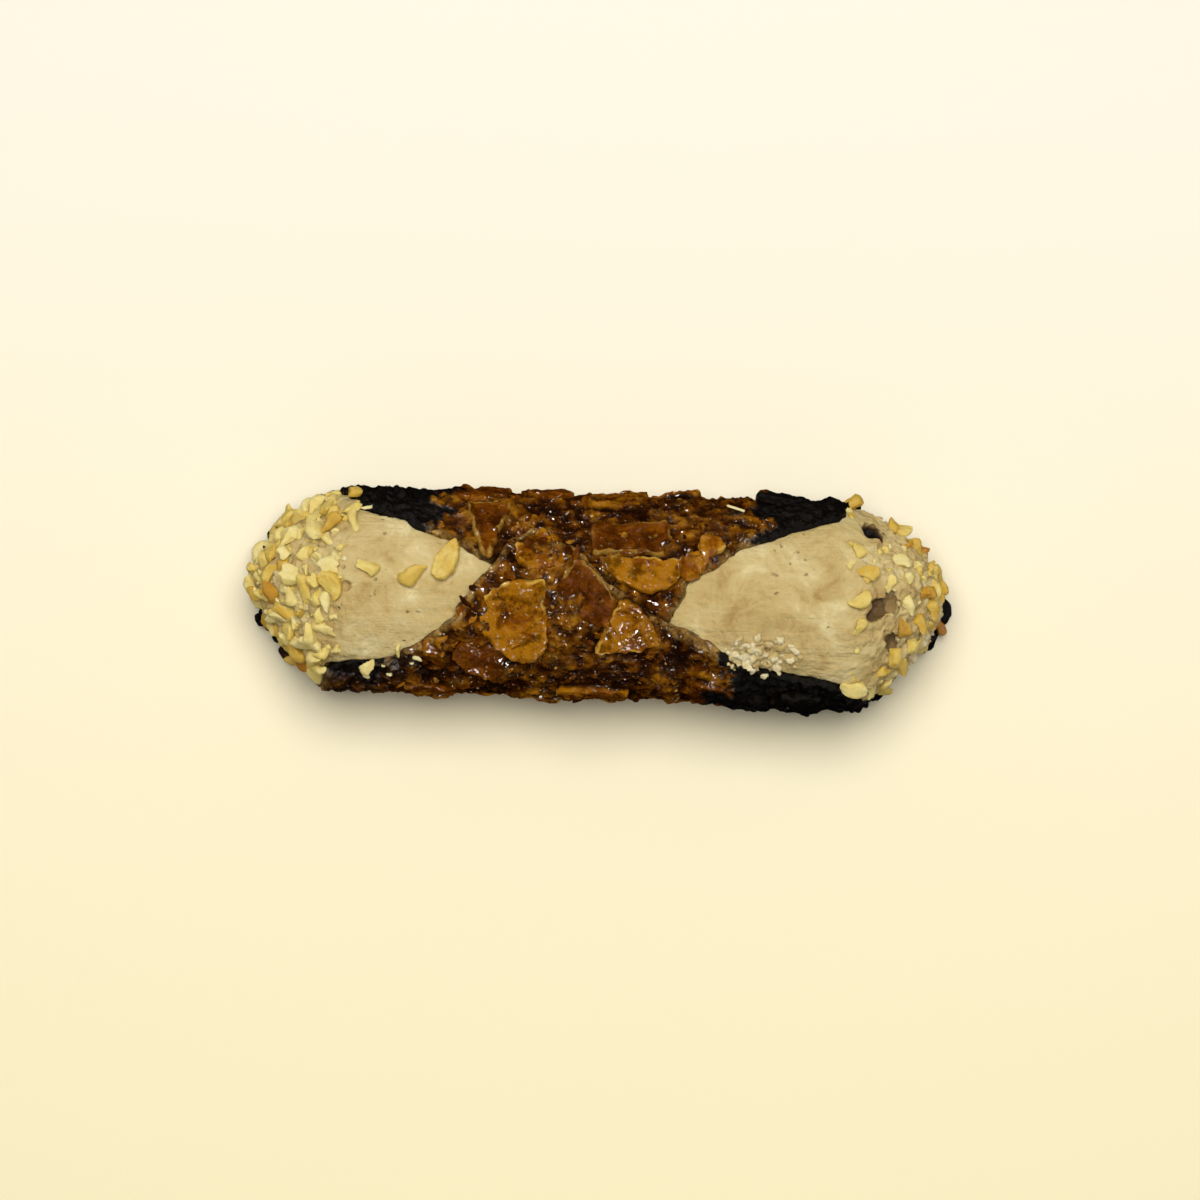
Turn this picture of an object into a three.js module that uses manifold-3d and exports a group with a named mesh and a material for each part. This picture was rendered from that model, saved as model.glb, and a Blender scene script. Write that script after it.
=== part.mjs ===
// A filled cannolo: a disc of caramel and sliced almonds rolled into a tube, with its two edges lapped on top,
// its ends dipped in dark chocolate, and a cream filling that shows at both mouths under chopped nuts.
// Millimetres, +Z up. X runs along the tube, the origin is under its middle, and the underside is flat at Z = 0.
// A place on the wafer is (x, turn): turn is the angle round the tube from its underside, positive on the front
// side (-Y) and negative on the rear side (+Y), so both flaps pass the top at 180 degrees and lap there.

import * as THREE from "three";
import { ConvexGeometry } from "three/addons/geometries/ConvexGeometry.js";
import { mergeVertices } from "three/addons/utils/BufferGeometryUtils.js";
import Module from "manifold-3d";

const wasm = await Module();
wasm.setup();

// ---- Driving dimensions ----

const TUBE_RADIUS = 16.9; // outside of the plain wafer at the waist
const WAFER = 2.5; // thickness of the wafer
const WAIST_FLARE = 0.05; // how much wider the tube is at MOUTH_X than at its waist
const END_TAPER = 0.022; // how much the +X end is wider, and the -X end narrower, than that
const MOUTH_X = 45; // where the flare and the taper are measured
const FLAT_CUT = 0.6; // depth taken off the underside to leave a flat to rest on
const LAP_PRESS = 0.25; // how far the lapped front flap sinks into the rear one
const CLEARANCE = 0.3; // gap between the cream and the wafer
const CRAG = 0.4; // height of the caramel's lumps
const JAG = 0.5; // how far the wafer's broken edges stray from their smooth lines
const JAG_WAVE = 0.31; // radians of that waver per degree of turn
const CREAM_DEPTH = 0.8; // how far the cream's face in a mouth lies below the wafer's outside

// Edges of the two flaps: [turn in degrees, x], from the underside to the flap's tip.
const FRONT_LEFT = [
  [0, -58.5], [11, -57.8], [20, -57], [30, -54.7], [42, -52.5], [55, -48.5], [75, -46.5], [100, -46],
  [120, -45.5], [131, -43], [135, -36.5], [141, -32.5], [149, -29.5], [160, -25.7], [168, -23.6],
  [180, -21.3], [193, -19], [203, -16], [212, -13.7], [216, -12],
];
const FRONT_RIGHT = [
  [0, 59.5], [8, 59.2], [16, 58], [30, 54.2], [40, 51.4], [50, 50], [57, 48.8], [75, 46], [95, 44.8],
  [118, 44], [127, 41.5], [131, 37], [134, 31.5], [138, 25], [143, 22], [150, 20.3], [155, 17.6],
  [161, 14.3], [168, 11], [174, 7.4], [184, 2.8], [198, -1.5], [208, -6], [216, -10.5],
];
const REAR_LEFT = [
  [0, -58.5], [20, -57.2], [30, -55.8], [48, -51.4], [60, -48], [90, -43.5], [115, -41], [127, -39.5],
  [131, -36.5], [134, -33], [141, -30], [147, -26], [154, -22.5], [160, -19.5], [172, -12],
  [186, -2], [196, 4.5], [200, 7.5],
];
const REAR_RIGHT = [
  [0, 59.5], [12, 58.6], [25, 56], [40, 53], [55, 50], [75, 46], [90, 42.8], [108, 41], [121, 40],
  [131, 35.5], [136, 31.5], [144, 27], [149, 23], [157, 20.2], [162, 18.3], [169, 15.6], [175, 14.6],
  [182, 13.3], [189, 12.6], [196, 11.4], [200, 9.5],
];
const FRONT_TIP = 216; // turn of the front flap's tip
const REAR_TIP = 200; // turn of the rear flap's tip
const LIFT_FROM = 138; // turn where the front flap starts to rise over the rear one
const LIFT_TO = 166; // turn where it lies on it
const REAR_LAP_FROM = 140; // turn on the rear flap from which the front one may cover it
const LAP_MARGIN = 2; // room kept plain beyond the front flap's edges

const DEGREE = Math.PI / 180;
const WAFER_INSIDE = TUBE_RADIUS - WAFER;

// ---- Small tools ----

// A repeatable stream of numbers from 0 to 1.
function randomStream(seed) {
  let state = seed;
  return () => {
    state = (state + 0x6d2b79f5) | 0;
    let t = Math.imul(state ^ (state >>> 15), 1 | state);
    t = (t + Math.imul(t ^ (t >>> 7), 61 | t)) ^ t;
    return ((t ^ (t >>> 14)) >>> 0) / 2 ** 32;
  };
}

const between = (random, low, high) => low + (high - low) * random();
const smooth = (v, low, high) => THREE.MathUtils.smoothstep(v, low, high);

// A smooth line through [turn, x] points, as a function of turn.
function edgeLine(points) {
  const STEPS_PER_POINT = 12;
  const curve = new THREE.SplineCurve(points.map(([turn, x]) => new THREE.Vector2(turn, x)));
  const line = curve.getPoints(points.length * STEPS_PER_POINT);
  return (turn) => {
    const next = line.findIndex((p) => p.x >= turn);
    if (next < 0) return line[line.length - 1].y;
    if (next === 0) return line[0].y;
    const [a, b] = [line[next - 1], line[next]];
    return a.y + ((b.y - a.y) * (turn - a.x)) / Math.max(b.x - a.x, 1e-6);
  };
}

// A copy of a geometry that has only its corners, each of them once.
function bareGeometry(geometry) {
  const bare = geometry.clone();
  bare.deleteAttribute("normal");
  bare.deleteAttribute("uv");
  return mergeVertices(bare, 1e-4);
}

// A three.js geometry as a manifold-3d solid.
function toSolid(geometry) {
  const merged = bareGeometry(geometry);
  return new wasm.Manifold(new wasm.Mesh({
    numProp: 3,
    vertProperties: new Float32Array(merged.attributes.position.array),
    triVerts: new Uint32Array(merged.index.array),
  }));
}

// A manifold-3d solid as a three.js geometry.
function toGeometry(solid) {
  const mesh = solid.getMesh();
  const flat = new Float32Array(mesh.numVert * 3);
  for (let i = 0; i < mesh.numVert; i++) {
    flat.set(mesh.vertProperties.subarray(i * mesh.numProp, i * mesh.numProp + 3), i * 3);
  }
  const geometry = new THREE.BufferGeometry()
    .setAttribute("position", new THREE.BufferAttribute(flat, 3))
    .setIndex(new THREE.BufferAttribute(mesh.triVerts, 1));
  geometry.computeVertexNormals();
  return geometry;
}

const largestPiece = (solid) =>
  solid.decompose().reduce((best, s) => (s.volume() > best.volume() ? s : best));

// ---- The rolled form ----

const flare = (x) => 1 + WAIST_FLARE * (x / MOUTH_X) ** 2 + END_TAPER * (x / MOUTH_X);
const axisHeight = (x) => TUBE_RADIUS * flare(x) - FLAT_CUT;

// The point at (x, turn) that stands at this radius on the waist's own scale.
function atRadius(x, turn, radius) {
  const r = radius * flare(x);
  const a = turn * DEGREE;
  return new THREE.Vector3(x, -r * Math.sin(a), axisHeight(x) - r * Math.cos(a));
}

// Outward, lengthwise and round-the-tube directions at a turn.
function directions(turn) {
  const a = turn * DEGREE;
  return {
    out: new THREE.Vector3(0, -Math.sin(a), -Math.cos(a)),
    along: new THREE.Vector3(1, 0, 0),
    round: new THREE.Vector3(0, -Math.cos(a), Math.sin(a)),
  };
}

// Lumps in the caramel, from -1 to 1.
const lumps = (x, turn) =>
  0.5 * Math.sin(0.42 * x + 1.6 * Math.sin(0.07 * turn)) +
  0.5 * Math.sin(0.12 * turn + 1.3 * Math.sin(0.31 * x));

const flaps = {
  front: {
    side: 1, tip: FRONT_TIP, left: edgeLine(FRONT_LEFT), right: edgeLine(FRONT_RIGHT),
    lift: (turn) => (WAFER - LAP_PRESS) * smooth(turn, LIFT_FROM, LIFT_TO),
  },
  rear: {
    side: -1, tip: REAR_TIP, left: edgeLine(REAR_LEFT), right: edgeLine(REAR_RIGHT),
    lift: () => 0,
  },
};

// The rear flap is plain where the front flap lies on it, and lumpy elsewhere.
function lumpsShare(flap, x, turn) {
  if (flap === flaps.front || turn < REAR_LAP_FROM) return 1;
  const frontTurn = 360 - turn;
  const lapped = frontTurn < FRONT_TIP
    && x > flaps.front.left(frontTurn) - LAP_MARGIN
    && x < flaps.front.right(frontTurn) + LAP_MARGIN;
  return lapped ? 0 : 1;
}

// ---- The wafer ----

const ROWS = { front: 28, rear: 25 }; // steps round the tube
const COLUMNS = 18; // steps along it
const CUTTER_COLUMNS = 6;
const CUTTER_REACH = 12; // how far the cutter stands out of the wafer
const EDGE_DROP = 0.7; // how far the outside falls to the wafer's edge

// One flap as a closed solid, from the underside to its tip. With a grow value it is a cutter that stands
// that much proud of the flap inwards and at its edges, and runs far out.
function flapSolid(name, grow = 0) {
  const flap = flaps[name];
  const rows = ROWS[name];
  const columns = grow ? CUTTER_COLUMNS : COLUMNS;
  const outsideRadius = (x, turn, column) => {
    if (grow) return TUBE_RADIUS + CUTTER_REACH;
    const isEdge = column === 0 || column === columns;
    const relief = CRAG * lumps(x, flap.side * turn) * lumpsShare(flap, x, turn);
    return TUBE_RADIUS + relief - (isEdge ? EDGE_DROP : 0);
  };
  const positions = [];
  const grid = (layer) => {
    for (let i = 0; i <= rows; i++) {
      const turn = (flap.tip * i) / rows;
      const wide = grow + JAG * Math.sin(JAG_WAVE * turn + flap.side);
      const left = flap.left(turn) - wide;
      const right = flap.right(turn) + wide;
      for (let j = 0; j <= columns; j++) {
        const eased = 0.5 - 0.5 * Math.cos((Math.PI * j) / columns);
        const x = left + (right - left) * 0.5 * (eased + j / columns);
        const radius = flap.lift(turn) + (layer === "outer" ? outsideRadius(x, turn, j) : WAFER_INSIDE - grow);
        const tipGrow = (grow * i) / rows / (TUBE_RADIUS * DEGREE);
        positions.push(...atRadius(x, flap.side * (turn + tipGrow), radius).toArray());
      }
    }
  };
  grid("outer");
  grid("inner");
  const outer = (i, j) => i * (columns + 1) + j;
  const inner = (i, j) => outer(i, j) + (rows + 1) * (columns + 1);
  const faces = [];
  const quad = (a, b, c, d) => faces.push(a, b, c, a, c, d);
  for (let i = 0; i < rows; i++) {
    for (let j = 0; j < columns; j++) {
      quad(outer(i, j), outer(i, j + 1), outer(i + 1, j + 1), outer(i + 1, j));
      quad(inner(i, j), inner(i + 1, j), inner(i + 1, j + 1), inner(i, j + 1));
    }
    quad(outer(i + 1, 0), inner(i + 1, 0), inner(i, 0), outer(i, 0));
    quad(outer(i, columns), inner(i, columns), inner(i + 1, columns), outer(i + 1, columns));
  }
  for (let j = 0; j < columns; j++) {
    quad(outer(0, j), inner(0, j), inner(0, j + 1), outer(0, j + 1));
    quad(outer(rows, j + 1), inner(rows, j + 1), inner(rows, j), outer(rows, j));
  }
  if (flap.side < 0) faces.reverse();
  const geometry = new THREE.BufferGeometry()
    .setAttribute("position", new THREE.BufferAttribute(new Float32Array(positions), 3))
    .setIndex(faces);
  return toSolid(geometry);
}

// True where the flap on this side covers (x, turn).
function covered(x, turn) {
  const flap = turn >= 0 ? flaps.front : flaps.rear;
  const t = Math.abs(turn);
  return t < flap.tip && x > flap.left(t) && x < flap.right(t);
}

// ---- Sliced almonds in the caramel ----

const SLICE_THICK = 1.7;
const SLICE_PROUD = 0.5; // how far a slice's middle stands out of the caramel
const SLICE_POINTS = 10;

// The outline of a sliced almond, pointed at its +X end. A broken slice ends at keep, where 1 is whole and
// 0 is half of it.
function sliceShape(length, width, keep = 1) {
  const points = [];
  for (let k = 0; k < SLICE_POINTS; k++) {
    const a = (2 * Math.PI * k) / SLICE_POINTS;
    const x = 0.5 * length * Math.cos(a);
    const y = 0.5 * width * Math.sin(a) * (1 - 0.3 * Math.cos(a));
    points.push(new THREE.Vector2(Math.max(x, -0.5 * length * keep), y));
  }
  return new THREE.Shape(points);
}

// A flat slice that lies on the tube at (x, turn), turned by heading and tipped by tilt, both in degrees.
// With a grow value it is that much larger all round.
function almondSlice({ x, turn, length, width, heading, keep = 1, tilt = 0, raise = 0 }, grow = 0) {
  const plate = new THREE.ExtrudeGeometry(sliceShape(length + 2 * grow, width + 2 * grow, keep), {
    depth: SLICE_THICK + 2 * grow, bevelEnabled: false,
  });
  plate.translate(0, 0, SLICE_PROUD - SLICE_THICK - grow);
  plate.rotateX(tilt * DEGREE);
  plate.rotateZ(heading * DEGREE);
  const { out, along, round } = directions(turn);
  plate.applyMatrix4(new THREE.Matrix4().makeBasis(along, round, out));
  plate.translate(...atRadius(x, turn, TUBE_RADIUS + raise).toArray());
  return toSolid(plate);
}

// The slices on top of the roll, which lie as they were found.
const LAP_RAISE = WAFER - LAP_PRESS;
const TOP_SLICES = [
  { x: -13, turn: 168, length: 15.5, width: 11.5, heading: -84, keep: 0.75, raise: LAP_RAISE, tilt: 4 },
  { x: -10.2, turn: 203, length: 9, width: 7, heading: -20, raise: LAP_RAISE, tilt: -6 },
  { x: -1.5, turn: 182, length: 11, width: 8.5, heading: -55, raise: LAP_RAISE, tilt: 6 },
  { x: 5, turn: 162, length: 12, width: 8, heading: 115, keep: 0.6, raise: 2, tilt: -4 },
  { x: -19.2, turn: 143, length: 9.5, width: 8.5, heading: -60, raise: 0.8 },
  { x: 6.6, turn: -166, length: 13.5, width: 6.5, heading: 175 },
  { x: 6.5, turn: -147, length: 15, width: 7.5, heading: 4, keep: 0.8 },
  { x: -19, turn: -137, length: 12, width: 8.5, heading: 35, keep: 0.5 },
  { x: -20.5, turn: -102, length: 10, width: 8, heading: 10, raise: 0.5 },
  { x: -9.5, turn: -96, length: 9, width: 7, heading: 175, raise: 0.4 },
  { x: 30.5, turn: -96, length: 8, width: 6.5, heading: 20, raise: 0.9 },
];
const SLICE_COUNT = 25;
const SLICE_TRIES = 40; // places tried for each
const SLICE_SPACING = 6.3; // least distance between two slices' middles
const SLICES_TO = { x: 48, turn: 150 }; // they lie within these
const CHOCOLATE_FROM = 36; // beyond this x the wafer is dipped, and fewer slices show
const DIPPED_SHARE = 0.3; // share of the slices that still shows there

// True where a slice of this length lies wholly on the wafer.
function hasRoom(x, turn, length) {
  const reach = 0.5 * length + 1;
  const angles = Array.from({ length: 12 }, (_, k) => k * 30 * DEGREE);
  return angles.every((a) =>
    covered(x + reach * Math.cos(a), turn + (reach * Math.sin(a)) / (TUBE_RADIUS * DEGREE)));
}

// The rest lie evenly spread, each in the best free place out of several tries.
function scatteredSlices() {
  const random = randomStream(11);
  const placed = TOP_SLICES.map((s) => atRadius(s.x, s.turn, TUBE_RADIUS));
  const slices = [];
  while (slices.length < SLICE_COUNT) {
    const length = between(random, 11, 15);
    let best = null;
    for (let attempt = 0; attempt < SLICE_TRIES; attempt++) {
      const x = between(random, -SLICES_TO.x, SLICES_TO.x);
      const turn = between(random, -SLICES_TO.turn, SLICES_TO.turn);
      if (!hasRoom(x, turn, length)) continue;
      if (Math.abs(x) > CHOCOLATE_FROM && random() > DIPPED_SHARE) continue;
      const spot = atRadius(x, turn, TUBE_RADIUS);
      const room = Math.min(...placed.map((p) => p.distanceTo(spot)));
      if (!best || room > best.room) best = { x, turn, spot, room };
    }
    if (best.room < SLICE_SPACING) break;
    placed.push(best.spot);
    slices.push({
      x: best.x, turn: best.turn, length, width: between(random, 7.5, 10),
      heading: between(random, 0, 360), tilt: between(random, -7, 7),
      keep: random() < 0.5 ? between(random, 0.2, 0.6) : 1,
    });
  }
  return slices;
}

// ---- The cream ----

const CREAM_RADIUS = TUBE_RADIUS - CREAM_DEPTH;
// nose: how far the end reaches. drift: the nose's shift to +Y. pointed: above 1, the end is more pointed
// than an ellipse, on its rear and its front side.
const CREAM_ENDS = {
  left: { side: -1, edge: "left", nose: -58.8, drift: 1.8, pointed: { rear: 1.45, front: 1.4 } },
  right: { side: 1, edge: "right", nose: 57.8, drift: 2.4, pointed: { rear: 1.1, front: 1.45 } },
};
const RIM_INSET = 2.5; // the cream starts to round off this far inside the wafer's rim
const RIM_TURN = 112; // above this turn the mouth opens, and the rounding stays where it is
const DOME_RINGS = 6;
const BODY_RINGS = 8;
const ROUND_STEPS = 30;

// Where the cream starts to round off to an end, at this turn.
function shoulderX(end, turn) {
  const flap = turn >= 0 ? flaps.front : flaps.rear;
  return flap[end.edge](Math.min(Math.abs(turn), RIM_TURN)) - end.side * RIM_INSET;
}

// The cream's surface on an end: fall runs from 0 at the nose to 90 at the shoulder.
function domePoint(end, fall, turn) {
  const a = fall * DEGREE;
  const frontShare = 0.5 + 0.5 * Math.sin(turn * DEGREE);
  const power = THREE.MathUtils.lerp(end.pointed.rear, end.pointed.front, frontShare);
  const outShare = Math.cos(a) ** power;
  const shoulder = shoulderX(end, turn > 180 ? turn - 360 : turn);
  const x = shoulder + (end.nose - shoulder) * outShare;
  const point = atRadius(x, turn, CREAM_RADIUS * Math.sin(a) ** power);
  point.y += end.drift * outShare;
  return point;
}

function creamBody() {
  const rings = [];
  const ring = (point) => {
    rings.push(Array.from({ length: ROUND_STEPS }, (_, k) => point((360 * k) / ROUND_STEPS)));
  };
  for (let i = 1; i <= DOME_RINGS; i++) {
    ring((turn) => domePoint(CREAM_ENDS.left, (90 * i) / DOME_RINGS, turn));
  }
  for (let i = 1; i < BODY_RINGS; i++) {
    ring((turn) => {
      const from = domePoint(CREAM_ENDS.left, 90, turn).x;
      const to = domePoint(CREAM_ENDS.right, 90, turn).x;
      return atRadius(from + ((to - from) * i) / BODY_RINGS, turn, CREAM_RADIUS);
    });
  }
  for (let i = DOME_RINGS; i >= 1; i--) {
    ring((turn) => domePoint(CREAM_ENDS.right, (90 * i) / DOME_RINGS, turn));
  }
  const points = [...rings.flat(), domePoint(CREAM_ENDS.left, 0, 0), domePoint(CREAM_ENDS.right, 0, 0)];
  const [leftPole, rightPole] = [points.length - 2, points.length - 1];
  const at = (i, k) => i * ROUND_STEPS + (k % ROUND_STEPS);
  const faces = [];
  for (let k = 0; k < ROUND_STEPS; k++) {
    for (let i = 0; i < rings.length - 1; i++) {
      faces.push(at(i, k), at(i + 1, k), at(i + 1, k + 1), at(i, k), at(i + 1, k + 1), at(i, k + 1));
    }
    faces.push(leftPole, at(0, k), at(0, k + 1));
    faces.push(rightPole, at(rings.length - 1, k + 1), at(rings.length - 1, k));
  }
  const geometry = new THREE.BufferGeometry().setFromPoints(points).setIndex(faces);
  return toSolid(geometry);
}

// ---- Chopped nuts ----

const NUT_SINK = 0.4; // share of a nut's height that is sunk in what it lies on
const NUT_HEIGHT = 0.72; // height of a nut against its size
const NUT_CORNERS = 9;

// One chopped nut: an uneven block with few corners that lies flat on the surface, about size across.
function nut(random, place, out, size, grow = 0) {
  const corners = bareGeometry(new THREE.IcosahedronGeometry(0.5, 0)).attributes.position;
  const kept = Array.from({ length: corners.count }, (_, k) => ({ k, rank: random() }))
    .sort((one, other) => one.rank - other.rank)
    .slice(0, NUT_CORNERS);
  const height = size * NUT_HEIGHT;
  const scale = new THREE.Vector3(size * between(random, 1.05, 1.4), size * between(random, 0.85, 1.05), height)
    .addScalar(2 * grow);
  const spin = between(random, 0, 2 * Math.PI);
  const lay = new THREE.Quaternion().setFromUnitVectors(new THREE.Vector3(0, 0, 1), out);
  const middle = place.clone().addScaledVector(out, (0.5 - NUT_SINK) * height);
  const points = kept.map(({ k }) => new THREE.Vector3().fromBufferAttribute(corners, k)
    .multiplyScalar(between(random, 0.95, 1.12))
    .multiply(scale)
    .applyAxisAngle(new THREE.Vector3(0, 0, 1), spin)
    .applyQuaternion(lay)
    .add(middle));
  return toSolid(new ConvexGeometry(points));
}

// The direction out of the cream's end at a point.
function domeOut(end, fall, turn) {
  const step = 1.5; // degrees
  const here = domePoint(end, fall, turn);
  const round = domePoint(end, fall, turn + step).sub(here);
  const down = domePoint(end, Math.max(fall - step, 1), turn).sub(domePoint(end, fall + step, turn));
  return round.cross(down).multiplyScalar(-end.side).normalize();
}

const EVEN_SPREAD = 0.6; // power that spreads random falls evenly over an end
const RIM_FALL = 60; // beyond this fall the wafer may be in a nut's way

// Nuts on an end of the cream, evenly spread, with this spacing between their middles.
function endNuts(end, { spacing, fallTo, size, seed, tries }) {
  const random = randomStream(seed);
  const nuts = [];
  const spots = [];
  for (let attempt = 0; attempt < tries; attempt++) {
    const fall = fallTo * random() ** EVEN_SPREAD;
    const turn = between(random, -180, 180);
    const spot = domePoint(end, fall, turn);
    if (spots.some((s) => s.distanceTo(spot) < spacing)) continue;
    if (fall > RIM_FALL && covered(spot.x, turn)) continue;
    spots.push(spot);
    nuts.push(nut(random, spot, domeOut(end, fall, turn), between(random, ...size)));
  }
  return nuts;
}

// Single nuts on the cream inside the mouths: [x, turn, size].
const CREAM_NUTS = [
  [-26.5, -161, 4.6], [-31.8, -169, 4.2], [-39.3, -167, 3.4], [-34, 144, 2.6], [-41, -141, 4.6],
  [-41.5, -130, 4], [-46, 144, 3.8], [-44.5, -156, 3.2], [-44, -178, 3.2], [-44.6, 163, 3.2],
  [42.8, -151, 3], [44, -164, 3.6], [42.3, 180, 3.8], [42.8, 165, 3.2], [42.5, 130, 4.4],
  [22.8, 148, 3], [26, 144, 3.2], [29.5, 147, 3], [33, 144, 2.8],
];

// Nuts that cling to the outside of the wafer: [x, turn, size].
const WAFER_NUTS = [[-50.3, 52, 3.6], [-41.3, -100, 3.6], [32.8, 96, 2.2], [58.2, 10, 3.2], [42, -94, 3.4]];

function creamNuts() {
  const random = randomStream(29);
  return CREAM_NUTS.map(([x, turn, size]) =>
    nut(random, atRadius(x, turn, CREAM_RADIUS), directions(turn).out, size));
}

function waferNuts(grow = 0) {
  const random = randomStream(31);
  return WAFER_NUTS.map(([x, turn, size]) =>
    nut(random, atRadius(x, turn, TUBE_RADIUS), directions(turn).out, size, grow));
}

// ---- Putting it together ----

const SMOOTHED_WAFER = 0.06; // how far a face may move when faces that nearly line up are joined
const SMOOTHED_CREAM = 0.1;

// Everything below the surface that the roll stands on.
function underTable() {
  const slab = new THREE.BoxGeometry(200, 100, 20);
  slab.translate(0, 0, -10);
  return toSolid(slab);
}

const allSlices = [...TOP_SLICES, ...scatteredSlices()];

// The rolled wafer with its slices and nuts.
function wafer() {
  const slices = allSlices.map((slice) => almondSlice(slice));
  const rolled = wasm.Manifold.union([flapSolid("front"), flapSolid("rear"), ...slices, ...waferNuts()]);
  return largestPiece(rolled.subtract(underTable()).simplify(SMOOTHED_WAFER));
}

// The space that the wafer takes from the cream, with the clearance round it.
function waferSpace() {
  const jutting = allSlices.filter((slice) => !hasRoom(slice.x, slice.turn, slice.length));
  return wasm.Manifold.union([
    flapSolid("front", CLEARANCE), flapSolid("rear", CLEARANCE),
    ...jutting.map((slice) => almondSlice(slice, CLEARANCE)), ...waferNuts(CLEARANCE),
  ]);
}

function cream() {
  const nuts = [
    ...endNuts(CREAM_ENDS.left, { spacing: 3.4, fallTo: 88, size: [3, 4.4], seed: 5, tries: 1500 }),
    ...endNuts(CREAM_ENDS.right, { spacing: 4.3, fallTo: 78, size: [3, 4.2], seed: 8, tries: 600 }),
    ...creamNuts(),
  ];
  const filling = wasm.Manifold.union([creamBody(), ...nuts]);
  return largestPiece(filling.subtract(waferSpace()).simplify(SMOOTHED_CREAM));
}

const cannolo = new THREE.Group();

function addNode(name, solid, look) {
  const mesh = new THREE.Mesh(toGeometry(solid), new THREE.MeshStandardMaterial(look));
  mesh.name = name;
  cannolo.add(mesh);
}

addNode("wafer", wafer(), { color: 0x6e3d08, roughness: 0.35, metalness: 0 });
addNode("cream", cream(), { color: 0xcdbb82, roughness: 0.6, metalness: 0 });

export default cannolo;
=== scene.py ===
# %% [markdown]
# # A filled cannolo, made flat and then rolled
# The real pastry starts as a flat disc of caramel and sliced almonds. It is rolled round a bar while it is warm,
# its ends are dipped in dark chocolate, cream is piped through it, and both ends are pressed into chopped nuts.
# This lesson follows the same order. The imported CAD model gives the size and the place of everything, so it is
# loaded first.

# %% Load the frame
import math

import bmesh
import bpy
import numpy as np
from mathutils import Matrix, Vector, kdtree
from mathutils import noise as clouds


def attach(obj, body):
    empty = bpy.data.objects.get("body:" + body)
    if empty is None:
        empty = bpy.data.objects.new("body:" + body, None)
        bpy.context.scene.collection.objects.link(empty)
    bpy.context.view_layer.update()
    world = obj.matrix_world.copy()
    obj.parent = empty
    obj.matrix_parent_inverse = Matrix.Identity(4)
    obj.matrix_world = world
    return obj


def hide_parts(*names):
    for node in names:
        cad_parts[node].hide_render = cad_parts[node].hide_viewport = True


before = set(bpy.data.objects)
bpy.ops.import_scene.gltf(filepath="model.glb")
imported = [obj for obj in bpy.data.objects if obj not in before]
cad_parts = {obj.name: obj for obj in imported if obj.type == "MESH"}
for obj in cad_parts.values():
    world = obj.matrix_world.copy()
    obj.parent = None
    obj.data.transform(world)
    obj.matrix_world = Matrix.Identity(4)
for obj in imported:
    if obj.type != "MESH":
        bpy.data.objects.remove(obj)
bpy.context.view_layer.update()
BODY = "root"
MM = 0.001
print("CAD nodes:", sorted(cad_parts))

# %% [markdown]
# ## Camera
# The pastry is seen from straight above, with its long side almost level in the picture. A camera far away with a
# long lens keeps the sides of a small object parallel. It could be placed by hand in the viewport, but a few named
# numbers say the same and are easy to change: the height, the width of the view, the roll and the centre.

# %% The camera
CAMERA_HEIGHT = 0.9
VIEW_WIDTH = 202.2 * MM  # what the camera sees from side to side at half the pastry's height
VIEW_CENTRE = (0.2 * MM, -0.5 * MM)
CAMERA_ROLL = math.radians(1.9)
MID_HEIGHT = 18 * MM

bpy.ops.object.camera_add(location=(*VIEW_CENTRE, CAMERA_HEIGHT), rotation=(0, 0, CAMERA_ROLL))
camera = bpy.context.object
camera.data.sensor_width = 36
camera.data.lens = camera.data.sensor_width * (CAMERA_HEIGHT - MID_HEIGHT) / VIEW_WIDTH
camera.data.dof.use_dof = False
bpy.context.scene.camera = camera
print("lens in mm:", round(camera.data.lens, 1))

# %% [markdown]
# ## Studio light
# One wide lamp above gives soft shading, and a pale sky fills the shadows. Caramel also needs something small and
# bright to mirror, or it looks dry. So the two jobs are split, as a studio does with polarised light: the wide lamp
# is only seen by matt light, and three small lamps only by reflections. The colours are shown without a film look,
# so that a colour chosen here is the colour that is seen.

# %% The lamps and the sky
SKY_STRENGTH = 0.16
WARM_WHITE = (1.0, 0.97, 0.93)
WARM_SKY = (1.0, 0.97, 0.92, 1)


def lamp(name, place, size, power, mirrored):
    bpy.ops.object.light_add(type="AREA", location=place)
    light = bpy.context.object
    light.name = name
    light.data.shape = "DISK"
    light.data.size = size
    light.data.energy = power
    light.data.color = WARM_WHITE
    light.rotation_mode = "QUATERNION"
    light.rotation_quaternion = (Vector((0, 0, MID_HEIGHT)) - Vector(place)).to_track_quat("-Z", "Y")
    light.visible_glossy = mirrored
    light.visible_diffuse = not mirrored


lamp("wide_lamp", (0, 0.2, 0.95), 0.6, 9, False)
lamp("sparkle_left", (-0.4, 0.4, 0.44), 0.075, 4.2, True)
lamp("sparkle_right", (0.5, 0.22, 0.42), 0.07, 3.0, True)
lamp("sparkle_near", (0.1, -0.5, 0.42), 0.06, 1.9, True)

world = bpy.data.worlds.new("soft_sky")
world.use_nodes = True
sky = world.node_tree.nodes["Background"].inputs
sky["Color"].default_value = WARM_SKY
sky["Strength"].default_value = SKY_STRENGTH
bpy.context.scene.world = world
world.cycles_visibility.glossy = False
bpy.context.scene.view_settings.view_transform = "Standard"

# %% [markdown]
# ## Small helpers
# Most operators act on whatever is selected, so each step first deselects everything. A modifier is added and
# applied at once, because the next step works on its result. The draws are a seeded stream, so each run of the
# lesson gives the same pastry.


# %% Selecting, applying and drawing numbers
def only(piece):
    """Makes this the one selected and active object."""
    bpy.ops.object.select_all(action="DESELECT")
    piece.select_set(True)
    bpy.context.view_layer.objects.active = piece


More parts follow.
